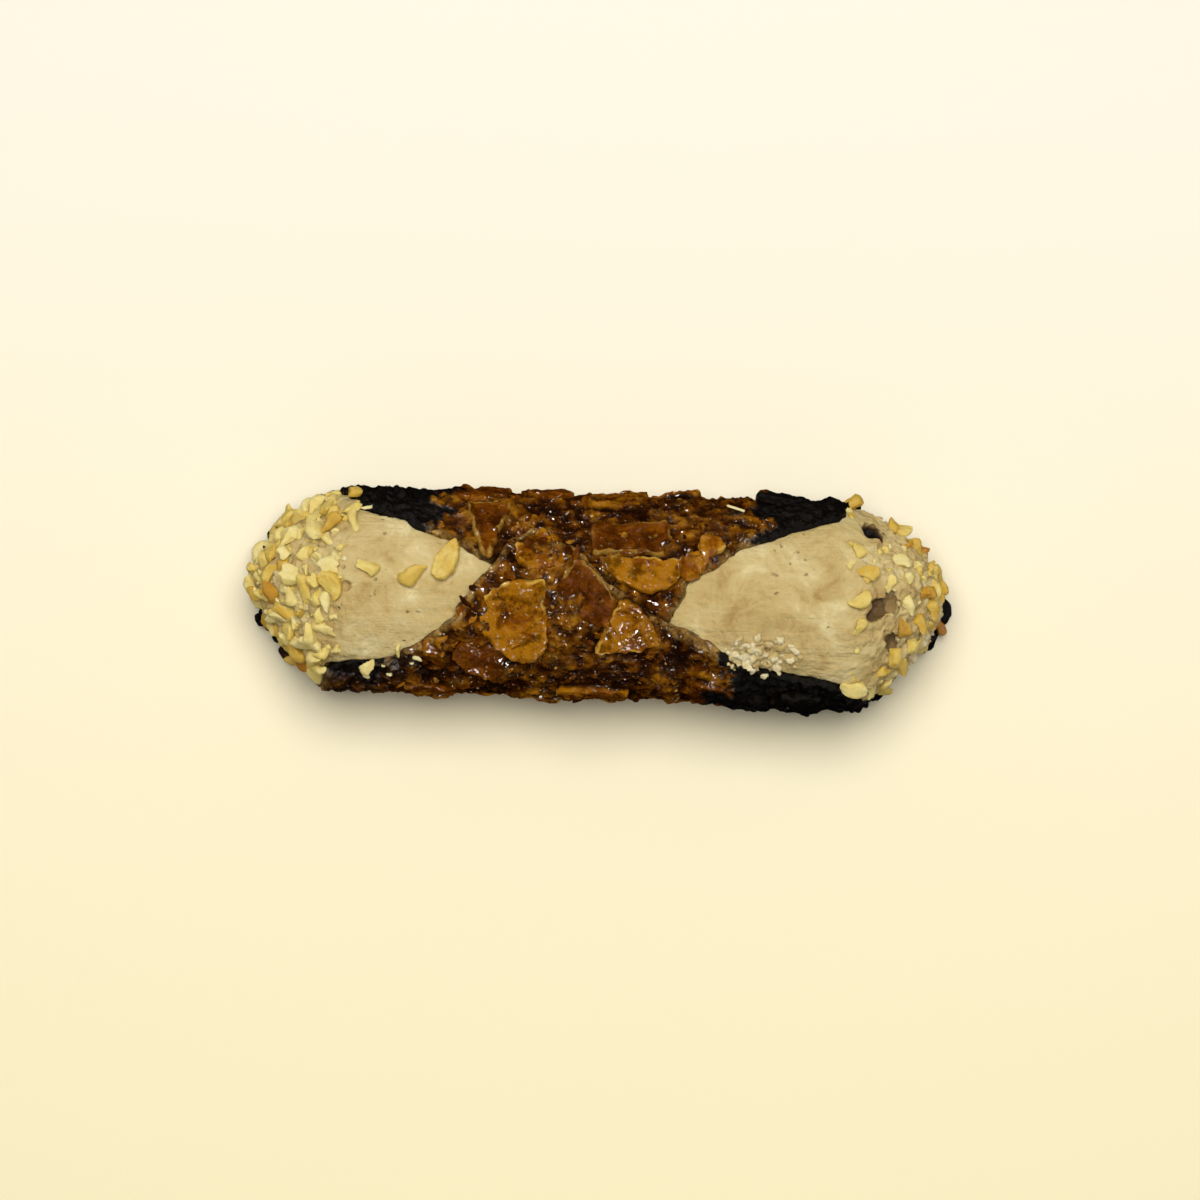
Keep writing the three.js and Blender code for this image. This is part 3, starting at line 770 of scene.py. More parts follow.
for turn, row in sorted(rows_of(mesh).items()):
    left, right = shoulder(turn, 0), shoulder(turn, 1)
    parts = (
        ([v for v in row if v.co.x < -1.0001], left - NOSE_LEFT, left + (left - NOSE_LEFT)),
        ([v for v in row if abs(v.co.x) <= 1.0001], (right - left) / 2, (right + left) / 2),
        ([v for v in row if v.co.x > 1.0001], NOSE_RIGHT - right, right - (NOSE_RIGHT - right)),
    )
    for part, size, middle in parts:
        select_row(part, True)
        bpy.ops.transform.resize(value=(size, 1, 1), center_override=(0, 0, row[0].co.z))
        bpy.ops.transform.translate(value=(middle, 0, 0))
        select_row(part, False)
bpy.ops.object.mode_set(mode="OBJECT")
print("flat cream spans", np.ptp(points_of(cream), axis=0).round(4))

# %% [markdown]
# ## Roll the cream
# The cream is rolled like the wafer. Its two long edges then meet at the top, where they are welded, so the filling
# is one closed form. Its noses lie a little to the far side, and the same lattice that flares it shifts them.

# %% Roll and close the cream
def drift_at(x):
    return DRIFT_LEFT * float(smooth_step(-x, *DRIFT_X)) + DRIFT_RIGHT * float(smooth_step(x, *DRIFT_X))


roll_up(cream)
bpy.ops.object.mode_set(mode="EDIT")
bpy.ops.mesh.select_all(action="SELECT")
bpy.ops.mesh.remove_doubles(threshold=0.02 * MM)
bpy.ops.mesh.normals_make_consistent(inside=False)
bpy.ops.object.mode_set(mode="OBJECT")
flare_out(cream, drift_at)
set_down(cream)
print("rolled cream:", np.ptp(points_of(cream), axis=0).round(4))

# %% [markdown]
# ## Holes and knife marks in the cream
# Air pockets are cut out by a boolean, as a spoon would take them out. The cream is smooth where the knife passed
# and rough near its ends and where crumbs tore it. The marks are a displacement whose pattern is read from an
# empty object that is stretched along the tube, which stretches the pattern too.

# %% Cut the holes
# place from above in mm, radius in mm along x and y, depth in mm, and how dark its inside is painted, a painted shade
HOLES = [
    (45.3, 12.8, 1.9, 1.7, 3.2, 1.0), (46.6, 11.6, 1.0, 0.8, 2.5, 1.0), (46.6, -0.3, 1.7, 1.4, 2.8, 0.75),
    (48.6, 0.5, 1.9, 1.0, 2.4, 0.6), (45.4, -1.6, 1.2, 0.9, 2.0, 0.5), (49.3, -6.3, 2.4, 0.9, 2.2, 0.7),
    (-41.3, 4.1, 0.9, 0.35, 2.0, 0.9), (28.3, -7.6, 0.9, 0.7, 1.6, 0.6), (30.2, -8.3, 0.6, 0.5, 1.4, 0.8),
    (25.2, -8.8, 0.7, 0.6, 1.4, 0.4), (-44, -3.4, 0.8, 0.6, 1.2, 0.3), (-33.4, -5.1, 0.7, 0.3, 1.2, 0.6),
    (14.8, -2.2, 0.5, 0.4, 1.0, 0.5), (-42.2, 0.4, 1.2, 0.8, 1.3, 0.2), (40.5, -1.5, 0.6, 0.4, 0.9, 0.3),
]
END_ROUGH = (41 * MM, 49 * MM)  # from the middle, where the rough end starts and where it is full
TORN = (27.5 * MM, -8.8 * MM, 6.5 * MM, 3.6 * MM)  # middle and reach of the torn patch
KNIFE_STRETCH = 5
HOLE_SHADE_FROM = 0.35 * MM
ABOVE = 0.1  # the height from which rays are cast down


def from_above(x, y, targets=(cream, wafer)):
    """The highest of these pieces' surfaces at x and y, and its outward direction."""
    hits = [t.ray_cast(Vector((x, y, ABOVE)), Vector((0, 0, -1))) for t in targets]
    hits = [(place, out) for found, place, out, _ in hits if found]
    return max(hits, key=lambda hit: hit[0].z) if hits else None


bits, spots = [], []
for x, y, reach_x, reach_y, depth, _ in HOLES:
    bpy.ops.mesh.primitive_ico_sphere_add(subdivisions=3, radius=1)
    bit = bpy.context.object
    bit.scale = (reach_x * MM, reach_y * MM, depth * MM)
    bit.rotation_euler.z = math.radians(17 * x)
    place, out = from_above(x * MM, y * MM, (cream,))
    bit.location = place
    bits.append(bit)
    spots.append((np.array(place), np.array(out)))
holes = join(bits, "holes")
crumple(holes, 1.3, 0.8)
apply_modifier(holes, "REMESH", mode="VOXEL", voxel_size=0.6 * VOXEL)
apply_modifier(cream, "REMESH", mode="VOXEL", voxel_size=1.4 * VOXEL)
apply_modifier(cream, "BOOLEAN", operation="DIFFERENCE", object=holes, solver="EXACT")
apply_modifier(cream, "REMESH", mode="VOXEL", voxel_size=VOXEL)
bpy.data.objects.remove(holes)
print("holes:", len(HOLES), "cream faces:", len(cream.data.polygons))

# %% Shape the cream's surface
at = points_of(cream)
torn = 1 - smooth_step(np.hypot((at[:, 0] - TORN[0]) / TORN[2], (at[:, 1] - TORN[1]) / TORN[3]), 0.6, 1.1)
torn[at[:, 2] < MID_HEIGHT] = 0
end_rough = smooth_step(np.abs(at[:, 0]), *END_ROUGH)
# Painted shade: deeper inside each hole the cream is painted darker, down to near black.
hole_shade = np.zeros(len(at))
for (place, out), (_, _, reach_x, reach_y, depth, shade_inside) in zip(spots, HOLES):
    below = -(at - place) @ out
    beside = np.linalg.norm(at - place + np.outer(below, out), axis=1)
    inside = beside < 1.5 * MM * max(reach_x, reach_y)
    painted_hole_shade = shade_inside * smooth_step(below, HOLE_SHADE_FROM, 0.45 * depth * MM)
    hole_shade = np.where(inside, np.maximum(hole_shade, painted_hole_shade), hole_shade)
paint(cream, "hole_shade", hole_shade)
for name, weights in (("torn", torn), ("end_rough", end_rough), ("body", 1 - end_rough)):
    weigh(cream, name, weights)

bpy.ops.object.empty_add()
stretcher = bpy.context.object
stretcher.scale = (KNIFE_STRETCH, 1, 1)
bpy.context.view_layer.update()
crumple(cream, 1.6, 0.22, texture_coords="OBJECT", texture_coords_object=stretcher, vertex_group="body")
bpy.data.objects.remove(stretcher)
for size, height in ((14, 0.9), (4.5, 0.5)):
    crumple(cream, size, height)
for size, height, where in ((3.0, 2.0, "end_rough"), (1.3, 1.1, "end_rough"), (1.1, 1.7, "torn")):
    crumple(cream, size, height, ridged=True, vertex_group=where, mid_level=0.45)
print("cream faces:", len(cream.data.polygons))

# %% [markdown]
# ## Press the cream in under the wafer
# Lumps that were made on the whole filling could break through the thin wafer. Where the wafer covers it, the cream
# is pressed in until it stays inside the wafer's wall, which a shell round real cream does by itself.

# %% Keep the cream inside the wafer
WAFER_COVER = 1.7 * MM  # below the wafer the cream stays at least this far inside its outer face
PRESS_MOST = 4 * MM
PRESS_FROM, PRESS_FULL = 0.3 * MM, 2 * MM  # distances in from the wafer's edge

at = points_of(cream)
widened = flare_at(at[:, 0])
axis = TUBE_RADIUS * widened - FLAT_CUT
turns = np.degrees(np.arctan2(-at[:, 1], axis - at[:, 2]))
left, right = (
    np.where(turns >= 0, np.interp(abs(turns), *EDGES[1][end]), np.interp(abs(turns), *EDGES[-1][end]))
    for end in (0, 1)
)
under = smooth_step(np.minimum(at[:, 0] - left, right - at[:, 0]), PRESS_FROM, PRESS_FULL)
proud = np.hypot(at[:, 1], axis - at[:, 2]) - (TUBE_RADIUS - WAFER_COVER) * widened
weigh(cream, "pressed", under * np.clip(proud / PRESS_MOST, 0, 1))
apply_modifier(cream, "DISPLACE", strength=-PRESS_MOST, mid_level=0, vertex_group="pressed")
flatten_below_table(cream, 2 * CARAMEL_CLEAR)
print("cream box:", np.ptp(points_of(cream), axis=0).round(4))

# %% [markdown]
# ## Bits broken from nuts
# Chopped nuts are uneven blocks with a few flat cut faces. Each kind starts as a ball and is cut by planes with
# bisect, which is what the knife did. A few kinds are enough, because each copy is turned and stretched.

# %% Model the kinds of nut bits
CUT_EDGE = math.radians(38)  # edges sharper than this stay sharp
SOFT_CUT_EDGE = math.radians(50)


def chopped_bit(name, seed, cuts, depth, detail=2):
    """A ball of unit size cut by planes; depth is how far from the middle they pass."""
    draw = draws(seed)
    bpy.ops.object.select_all(action="DESELECT")
    bpy.ops.mesh.primitive_ico_sphere_add(subdivisions=detail, radius=0.5)
    bit = bpy.context.object
    bit.name = name
    bpy.ops.object.mode_set(mode="EDIT")
    for _ in range(cuts):
        way = Vector((draw(-1, 1), draw(-1, 1), draw(-0.8, 1))).normalized()
        cut(way, draw(*depth))
    bpy.ops.mesh.select_all(action="SELECT")
    bpy.ops.mesh.vertices_smooth(factor=0.22)
    bpy.ops.transform.vertex_random(offset=0.035, seed=seed)
    bpy.ops.object.mode_set(mode="OBJECT")
    bpy.ops.object.shade_smooth_by_angle(angle=CUT_EDGE)
    return bit


nut_kinds = [chopped_bit("nut", seed, 7, (0.2, 0.38)) for seed in (3, 8, 21, 34, 55)]
crumb_kinds = [chopped_bit("crumb", seed, 5, (0.22, 0.4), detail=1) for seed in (5, 13, 89)]
print("faces of the nuts:", [len(k.data.polygons) for k in nut_kinds])


def any_of(kinds, draw):
    return kinds[int(draw(0, len(kinds)))]


def turn_of(place):
    """The turn of a place on the finished roll."""
    axis = TUBE_RADIUS * flare_at(place.x) - FLAT_CUT
    return math.degrees(math.atan2(-place.y, axis - place.z))


def stand(kind, place, out, size, draw, sink=0.3, tone=None, spin=None, tip=0.25):
    """A copy of a bit that sits on a surface with this outward direction, tipped a little at random."""
    bit = own_copy(kind)
    turn = spin if spin is not None else draw(0, 2 * math.pi)
    height = size[2]
    lean = (out + Vector((draw(-1, 1), draw(-1, 1), draw(-1, 1))) * tip).normalized()
    bit.matrix_world = (
        Matrix.Translation(place + out * height * (0.5 - sink))
        @ lean.to_track_quat("Z", "Y").to_matrix().to_4x4()
        @ Matrix.Rotation(turn, 4, "Z")
        @ Matrix.Diagonal((*size, 1))
    )
    paint(bit, "tone", draw() if tone is None else tone)
    return bit


# %% [markdown]
# ## Nuts on the cream
# The nuts that show from above are placed one by one. The rest are thrown at random on the cream's ends, and one
# that would touch another is thrown away, so the cover is dense and even but nothing is in rows.

# %% The nuts that show from above
# x, y, size across in mm and tone; tone 0 is pale, 1 is toasted. Some have a stretch, which above 1 makes a stick,
# and a heading.
NUTS_FROM_ABOVE = [
    (-41, 10.8, 3.9, 0.2, 1.9, 75), (-41.5, 13.2, 3.8, 0.3), (-41.3, 16.3, 3.4, 0.5), (-45.2, 15.4, 3, 0.1),
    (-46.7, 13, 3.6, 0.15), (-54, 10.4, 3.6, 0.25), (-50.5, 11.8, 3.2, 0.2), (-45.2, 7.8, 2.9, 0.1),
    (-54.7, 6.4, 3.4, 0.2), (-56, 3.9, 3.4, 0.3), (-58, 3, 2.8, 0.35), (-52.5, 2.9, 3.8, 0.55),
    (-48.5, 2.5, 2.6, 0.1), (-55, -0.6, 3.8, 0.85), (-52.6, -0.3, 3, 0.02), (-49, -0.2, 4, 0.35),
    (-52.3, -3.7, 4, 0.5), (-54.3, -5.4, 3.4, 0.05), (-47.8, -7.4, 4.3, 0.15), (-51.6, -7.6, 3.2, 0.3),
    (-45.3, -10.5, 3.4, 0.3), (-47.7, -12.1, 4, 0.4), (-43.4, -9.9, 1.7, 0.1), (-45.6, -13.8, 2.4, 0.1),
    (-49, -12.5, 3, 1), (-32.9, -10.3, 2.3, 0.1), (-37.9, -12.7, 2.9, 0.1), (-31, 3.1, 4.2, 0.45),
    (-38.6, 3.9, 3.5, 0.25), (-56.2, 7.9, 2, 0.8), (-49.3, -4, 2.2, 0.5), (-57, -2.6, 2.6, 0.3),
    (-49.5, 6, 2.8, 0.2), (-50.2, 8.7, 2.6, 0.15), (-47.3, 10.4, 2.6, 0.1), (-50.3, -10.8, 2.8, 0.2),
    (-56.8, 1.2, 2.4, 0.2), (-47, 5, 2.2, 0.1), (-46.5, -4.6, 2.3, 0.15), (-43.8, 5.2, 2.1, 0.05),
    (42.9, 9.3, 2.8, 0.3), (44.5, 5.8, 3.6, 0.45), (43.1, 1.1, 3.6, 0.3), (43.1, -3.7, 2.8, 0.3),
    (50.3, 12.8, 3.9, 0.3), (48.6, 13.4, 2.6, 0.5), (49.9, 7, 3.2, 0.05), (53.3, 7, 1.7, 0.1),
    (56.4, 5.8, 3.2, 0.3), (54.1, 2.1, 3.9, 0.75), (51.8, 0.4, 2.8, 0.05), (53.8, -3, 3, 0.55),
    (52.5, -6.8, 2.8, 0.3), (49.6, -8.9, 3.6, 0.4), (48, -10.9, 3.2, 0.45), (43.2, -13.2, 4.2, 0.15),
    (45.7, -14.2, 3, 0.1), (42, 17, 3.8, 0.55), (47.6, 9.2, 1.5, 0.2), (41.7, 6.8, 1.7, 0.1),
    (57.6, 6.1, 2.2, 0.4), (51.6, 10.4, 2, 0.8), (23, 15.3, 1.75, -0.2, 4.6, -2), (-39, 13.7, 1.5, -0.2, 3, 20),
    (-42.8, 4.8, 1.1, -0.2, 2, 130), (-38.5, -14.5, 1.0, -0.2), (-29.7, -11, 1.4, -0.2, 1.6, 150),
    (-35.4, -12.6, 0.8, -0.2), (-34.6, -14, 0.9, -0.2), (-30.8, -12, 0.7, -0.2), (32.8, -17.2, 1.3, -0.2, 1.8, 10),
    (19.5, -16, 0.8, -0.2), (27.3, 17.2, 1.4, 0.3, 2, -35), (56, -6.8, 1.6, -0.1), (53.8, -7.6, 1.6, 0),
    (58.4, -2.6, 2.9, 1, 1.7, 70),
]
print("nuts placed by hand:", len(NUTS_FROM_ABOVE))

# %% Place the nuts
NUT_FLATNESS = 0.75  # a nut's height against its size across
NUT_SWELL = 1.33
LEFT_NUTS = dict(beyond=44.5, spacing=2.35, size=(2.4, 4.2), tries=7000, sink=(0.2, 0.45))
RIGHT_NUTS = dict(beyond=48, spacing=3.3, size=(2.0, 3.6), tries=1800, sink=(0.35, 0.6))
# x and y in mm of bits of the rim that show between the nuts
RIM_BITS = [
    (-56, 8.5), (-57, 6), (-57.7, -3.2), (-58, -5.8), (-54.7, -8.8), (-53, -11.7), (-56.8, -4.6), (-50, -13.4),
]
RIM_BIT_ROOM = 1.9 * MM  # the other nuts keep this far from them
NUTS_FROM_Z = 3 * MM
RIM_BITS_FROM_Z = 8 * MM
# a broken slice that leans in the left mouth, with its numbers in the order of TOP_SLICES
LEANING_SLICE = (-25.6, -161, 7.8, 3.9, 68, 0.35, -20, 0.42)
LEANING_THICK = 1.3 * MM


def in_a_hole(x, y):
    return any(
        math.hypot(x / MM - hole_x, y / MM - hole_y) < max(reach_x, reach_y) + 1
        for hole_x, hole_y, reach_x, reach_y, _, shade_inside in HOLES if shade_inside > 0.4
    )


draw = draws(19)
nuts, nut_spots = [], []
for x, y, size, tone, *more in NUTS_FROM_ABOVE:
    hit = from_above(x * MM, y * MM)
    stretch, heading = more or (draw(1.0, 1.25), draw(0, 180))
    across = NUT_SWELL * size * MM / math.sqrt(stretch)
    kind = any_of(nut_kinds, draw)
    height = size * MM * NUT_FLATNESS / math.sqrt(stretch)
    nuts.append(stand(kind, *hit, (across * stretch, across, height), draw, tone=tone, spin=math.radians(heading)))
    nut_spots.append(hit[0])

places = points_of(cream)
outs = np.empty(len(cream.data.vertices) * 3)
cream.data.vertices.foreach_get("normal", outs)
outs = outs.reshape(-1, 3)
for side, end in ((-1, LEFT_NUTS), (1, RIGHT_NUTS)):
    choice = np.flatnonzero(places[:, 0] * side > end["beyond"] * MM)
    for _ in range(end["tries"]):
        index = any_of(choice, draw)
        spot, out = Vector(places[index]), Vector(outs[index])
        size = draw(*end["size"]) * NUT_SWELL * MM
        if covered(spot.x, turn_of(spot)) or spot.z < NUTS_FROM_Z or in_a_hole(spot.x, spot.y):
            continue
        if any((spot - other).length < end["spacing"] * MM for other in nut_spots):
            continue
        from_rim_bits = min(math.hypot(spot.x - x * MM, spot.y - y * MM) for x, y in RIM_BITS)
        if spot.z > RIM_BITS_FROM_Z and from_rim_bits < RIM_BIT_ROOM:
            continue
        nut_spots.append(spot)
        kind = any_of(nut_kinds, draw)
        nuts.append(stand(kind, spot, out, (size * draw(1, 1.35), size * draw(0.85, 1.05), size * NUT_FLATNESS),
                          draw, sink=draw(*end["sink"]), tone=0.55 * draw() ** 1.5 + (0.4 if draw() < 0.08 else 0)))
nuts.append(laid_slice(*LEANING_SLICE, thick=LEANING_THICK))
bpy.data.objects.remove(unit_slice)
chopped_nuts = join(nuts, "chopped_nuts")
apply_modifier(chopped_nuts, "SUBSURF", levels=1, render_levels=1)
crumple(chopped_nuts, 1.1, 0.5)
bpy.ops.object.shade_smooth_by_angle(angle=SOFT_CUT_EDGE)
flatten_below_table(chopped_nuts)
print("nuts:", len(nuts), "faces:", len(chopped_nuts.data.polygons))

# %% [markdown]
# ## Shards, grains and crumbs
# Between the large things there are always small ones, and they make the difference between food and a model of
# it: crumbs between the nuts, shards of almond in the caramel, and fine grains on everything that is sticky.

# %% Shards and grains on the wafer
SHARDS = 150
GRAINS = 700
PALE_SHARE = 0.3
OFF_CHOCOLATE = 0.8  # the share of grains that don't stick to the chocolate
SCATTER_X = (-58 * MM, 59 * MM)
ABOVE_WAFER = 6 * MM  # where the search for the wafer's face starts
OFF_TABLE = 1.5 * MM


def on_wafer(draw):
    """A random place on the outermost face of the wafer, and its outward direction."""
    while True:
        x, turn = draw(*SCATTER_X), draw(-FAR_TIP, NEAR_TIP)
        if covered(x, turn):
            start = on_roll(x, turn, TUBE_RADIUS + ABOVE_WAFER)
            found, place, out, _ = wafer.ray_cast(start, -outward(turn))
            if found and place.z > OFF_TABLE:
                return place, out


def chocolate_at(place):
    return (place.x < DIP_LEFT + DIP_LEFT_SLANT * place.y) or (place.x > DIP_RIGHT + DIP_RIGHT_SLANT * place.y)


draw = draws(41)
shards = []
for x, y in RIM_BITS:
    hit = from_above(x * MM, y * MM)
    if hit:
        shards.append(stand(any_of(crumb_kinds, draw), *hit, (draw(3.4, 5) * MM, draw(2.2, 3.2) * MM, 1.5 * MM),
                            draw, sink=0.45, tone=0.2, tip=0.5))
for _ in range(SHARDS):
    place, out = on_wafer(draw)
    size = draw(1.6, 4.2) * MM
    lean = (out + Vector((draw(-0.5, 0.5), draw(-0.5, 0.5), draw(-0.5, 0.5)))).normalized()
    shards.append(stand(any_of(crumb_kinds, draw), place, lean,
                        (size, size * draw(0.35, 0.7), draw(0.7, 1.3) * MM), draw, sink=0.5, tone=draw(0.1, 0.95)))
shard_piece = join(shards, "almond_shards")
paint(shard_piece, "rim", 0.35)

grains = []
for _ in range(GRAINS):
    place, out = on_wafer(draw)
    size = draw(0.35, 1.0) * MM
    if chocolate_at(place) and draw() < OFF_CHOCOLATE:
        continue
    grain = stand(any_of(crumb_kinds, draw), place, out, (size * draw(1, 1.7), size, size * 0.7), draw,
                  sink=0.4, tone=draw(0, 0.9))
    paint(grain, "rim", 1.0 if draw() < PALE_SHARE else 0.1)
    grains.append(grain)
grain_piece = join(grains, "almond_grains")
print("shards:", len(shards), "grains:", len(grains))

# %% Crumbs between the nuts
# which end, how many, and how far from the middle they start in mm
CRUMBS = [(-1, 260, 42.5), (1, 90, 41)]

crumbs = []
for side, count, reach in CRUMBS:
    choice = np.flatnonzero(places[:, 0] * side > reach * MM)
    for _ in range(count):
        index = any_of(choice, draw)
        spot, out = Vector(places[index]), Vector(outs[index])
        if covered(spot.x, turn_of(spot)) or in_a_hole(spot.x, spot.y):
            continue
        size = draw(0.6, 1.7) * MM
        crumbs.append(stand(any_of(crumb_kinds, draw), spot, out, (size * draw(1, 1.5), size, size * 0.7), draw,
                            sink=0.3, tone=0.5 * draw()))
crumb_piece = join(crumbs, "nut_crumbs")
print("crumbs:", len(crumbs))

# %% [markdown]
# ## Crumbs of cream
# Where the cream was torn it broke into small crumbs, and a thin smear of it runs down the right end. They are
# thrown over one another and then fused by a voxel remesh, as soft crumbs of cream stick together.

# %% Crumbs of cream
CREAM_BITS = 130
RIM_SMEARS = 80
OFF_WAFER = 0.75  # the share of crumbs that are left out where they would lie on the wafer
CREAM_BIT_VOXEL = 0.22 * MM
SMEAR_FROM = (57.6, 0.5)  # x and y in mm where the smear starts, and how far it runs
SMEAR_RUN = (-3.6, -9)

cream_bits = []
for _ in range(CREAM_BITS):
    reach, way = draw() ** 0.7, draw(0, 2 * math.pi)
    x, y = TORN[0] + TORN[2] * reach * math.cos(way), TORN[1] + TORN[3] * reach * math.sin(way)
    hit = from_above(x, y)
    if covered(hit[0].x, turn_of(hit[0])) and draw() < OFF_WAFER:
        continue
    size = (0.5 + 1.5 * draw() ** 2) * MM
    bit = stand(any_of(crumb_kinds, draw), *hit, (size * draw(1, 1.3), size, size * 0.8), draw, sink=0.45)
    cream_bits.append(bit)
for _ in range(RIM_SMEARS):
    along = draw()
    x = SMEAR_FROM[0] + SMEAR_RUN[0] * along + draw(-1, 0.6)
    y = SMEAR_FROM[1] + SMEAR_RUN[1] * along + draw(-0.8, 0.8)
    hit = from_above(x * MM, y * MM)
    if hit:
        size = draw(1.2, 2.8) * MM
        bit = stand(any_of(crumb_kinds, draw), *hit, (size * 1.3, size, size * 0.35), draw, sink=0.2, tip=0.1)
        cream_bits.append(bit)
cream_bit_piece = join(cream_bits, "cream_crumbs")
apply_modifier(cream_bit_piece, "REMESH", mode="VOXEL", voxel_size=CREAM_BIT_VOXEL)
apply_modifier(cream_bit_piece, "SMOOTH", factor=0.5, iterations=1)
crumple(cream_bit_piece, 0.6, 0.8)
bpy.ops.object.shade_smooth()
paint(cream_bit_piece, "light", 0.8)
print("crumbs of cream:", len(cream_bit_piece.data.polygons), "faces")
for kind in nut_kinds + crumb_kinds:
    bpy.data.objects.remove(kind)

# %% [markdown]
# ## Writing a material
# A material is a small web of nodes. By hand they are dragged from a menu and wired; here a few short helpers add
# a node, set it and wire it in one line. Patterns read Object coordinates, so they stay put on the piece however
# it is turned, and all sizes of patterns are given in millimetres.


# %% Helpers for nodes
def srgb(red, green, blue):
    """A colour as it is seen on a screen, 0 to 255, as the linear colour that nodes use."""
    linear = [((v / 255 + 0.055) / 1.055) ** 2.4 if v > 10 else v / 255 / 12.92 for v in (red, green, blue)]
    return (*linear, 1)


def put(tree, socket, value):
    if isinstance(value, bpy.types.NodeSocket):
        tree.links.new(value, socket)
    else:
        socket.default_value = value


def node(tree, kind, inputs=(), **settings):
    made = tree.nodes.new("ShaderNode" + kind)
    for key, value in settings.items():
        setattr(made, key, value)
    for key, value in dict(inputs).items():
        put(tree, made.inputs[key], value)
    return made


# %% Helpers for patterns
def noise(tree, vector, size_mm, detail=2.0, rough=0.5, twist=0.0, out="Fac"):
    """Soft noise from 0 to 1 with features of about this size."""
    sockets = {"Vector": vector, "Scale": 0.5 / (size_mm * MM), "Detail": detail}
    return node(tree, "TexNoise", {**sockets, "Roughness": rough, "Distortion": twist}).outputs[out]


def warp(tree, vector, size_mm, reach_mm, detail=2.0):
    """Shifts a vector in a noisy way, so that the pattern that reads it loses its even shapes."""
    drift = noise(tree, vector, size_mm, detail, out="Color")
    drift = node(tree, "VectorMath", {0: drift, "Scale": reach_mm * MM}, operation="SCALE")
    return node(tree, "VectorMath", {0: vector, 1: drift.outputs["Vector"]}, operation="ADD").outputs["Vector"]


def cells(tree, vector, size_mm, feature="F1"):
    made = node(tree, "TexVoronoi", {"Vector": vector, "Scale": 1 / (size_mm * MM)}, feature=feature)
    return made.outputs["Distance"]


def attribute(tree, name):
    """A number that was painted on the piece."""
    return node(tree, "Attribute", attribute_name=name).outputs["Fac"]


def times(tree, a, b):
    return node(tree, "Math", {0: a, 1: b}, operation="MULTIPLY").outputs[0]


def total(tree, first, *others):
    """A sum of numbers, each given with its share."""
    result = times(tree, *first)
    for value, share in others:
        result = node(tree, "Math", {0: value, 1: share, 2: result}, operation="MULTIPLY_ADD").outputs[0]
    return result


def spread(tree, value, low, high, to_low=0.0, to_high=1.0):
    """A smooth step of value from low to high."""
    sockets = {"Value": value, "From Min": low, "From Max": high, "To Min": to_low, "To Max": to_high}
    return node(tree, "MapRange", sockets, interpolation_type="SMOOTHSTEP").outputs["Result"]


def ramp(tree, value, *stops):
    """A colour for each value; a stop is its value and its colour as seen on a screen."""
    made = node(tree, "ValToRGB", {"Fac": value})
    elements = made.color_ramp.elements
    while len(elements) < len(stops):
        elements.new(0.5)
    for element, (at, *colour) in zip(elements, stops):
        element.position = at
        element.color = srgb(*colour)
    return made.outputs["Color"]


def blend(tree, share, a, b):
    """Mixes two colours."""
    return node(tree, "Mix", {0: share, 6: a, 7: b}, data_type="RGBA", clamp_factor=True).outputs[2]


def lerp(tree, share, a, b):
    """Mixes two numbers."""
    return node(tree, "Mix", {0: share, 2: a, 3: b}, data_type="FLOAT", clamp_factor=True).outputs[0]


# %% Helpers for materials and shared effects
def open_material(name, **constants):
    """A material's tree, its Object coordinates and its shader, with constant values set on the shader."""
    material = bpy.data.materials.get(name) or bpy.data.materials.new(name)
    material.use_nodes = True
    tree = material.node_tree
    shader = tree.nodes["Principled BSDF"]
    for key, value in constants.items():
        shader.inputs[key.replace("_", " ")].default_value = value
    return material, tree, node(tree, "TexCoord").outputs["Object"], shader


def finish_surface(tree, shader, height, height_mm, **inputs):
    """Wires the height as a bump, and the rest to the shader's sockets of the same names."""
    bump = node(tree, "Bump", {"Height": height, "Distance": height_mm * MM, "Strength": 1.0})
    tree.links.new(bump.outputs["Normal"], shader.inputs["Normal"])
    for key, value in inputs.items():
        put(tree, shader.inputs[key.replace("_", " ")], value)


def open_group(name, inputs, outputs):
    """A node group with these sockets, as name: kind, where kind is Vector, Color or Float."""
    tree = bpy.data.node_groups.new(name, "ShaderNodeTree")
    for way, sockets in (("INPUT", inputs), ("OUTPUT", outputs)):
        for key, kind in sockets.items():
            tree.interface.new_socket(key, in_out=way, socket_type="NodeSocket" + kind)
    return tree, tree.nodes.new("NodeGroupInput").outputs, tree.nodes.new("NodeGroupOutput").inputs


def use_group(tree, group, **inputs):
    return node(tree, "Group", inputs, node_tree=group).outputs


# %% [markdown]
# ## Effects that several finishes share
# The chocolate covers caramel, slices and broken edges alike, so it is a node group: it takes the finish below it
# and gives back what is seen. Boiled sugar is another: its lumps, burst bubbles and fine grain are on the caramel
# and on the glaze over the almonds. A group is built once, and each material sets its own values.

# %% The chocolate dip and the boiled sugar
CHOCOLATE = srgb(9, 5, 2)
CHOCOLATE_WORN = srgb(38, 23, 9)
COAT_BUMP_MM = 0.42

dip, dip_in, dip_out = open_group(
    "chocolate_dip",
    {"Vector": "Vector", "Color": "Color", "Roughness": "Float", "Height": "Float"},
    {"Color": "Color", "Roughness": "Float", "Height": "Float"},
)
mask = attribute(dip, "dip")
crumble = noise(dip, dip_in["Vector"], 0.55, 4, 0.7)
crust = cells(dip, dip_in["Vector"], 0.9, "SMOOTH_F1")
coat_height = total(dip, (crumble, 1.1), (crust, -1))
worn = spread(dip, noise(dip, dip_in["Vector"], 1.1, 5, 0.7), 0.52, 0.78)
put(dip, dip_out["Color"], blend(dip, mask, dip_in["Color"], blend(dip, worn, CHOCOLATE, CHOCOLATE_WORN)))
put(dip, dip_out["Roughness"], lerp(dip, mask, dip_in["Roughness"], spread(dip, crumble, 0.3, 0.7, 0.38, 0.66)))
put(dip, dip_out["Height"], lerp(dip, mask, dip_in["Height"], coat_height))


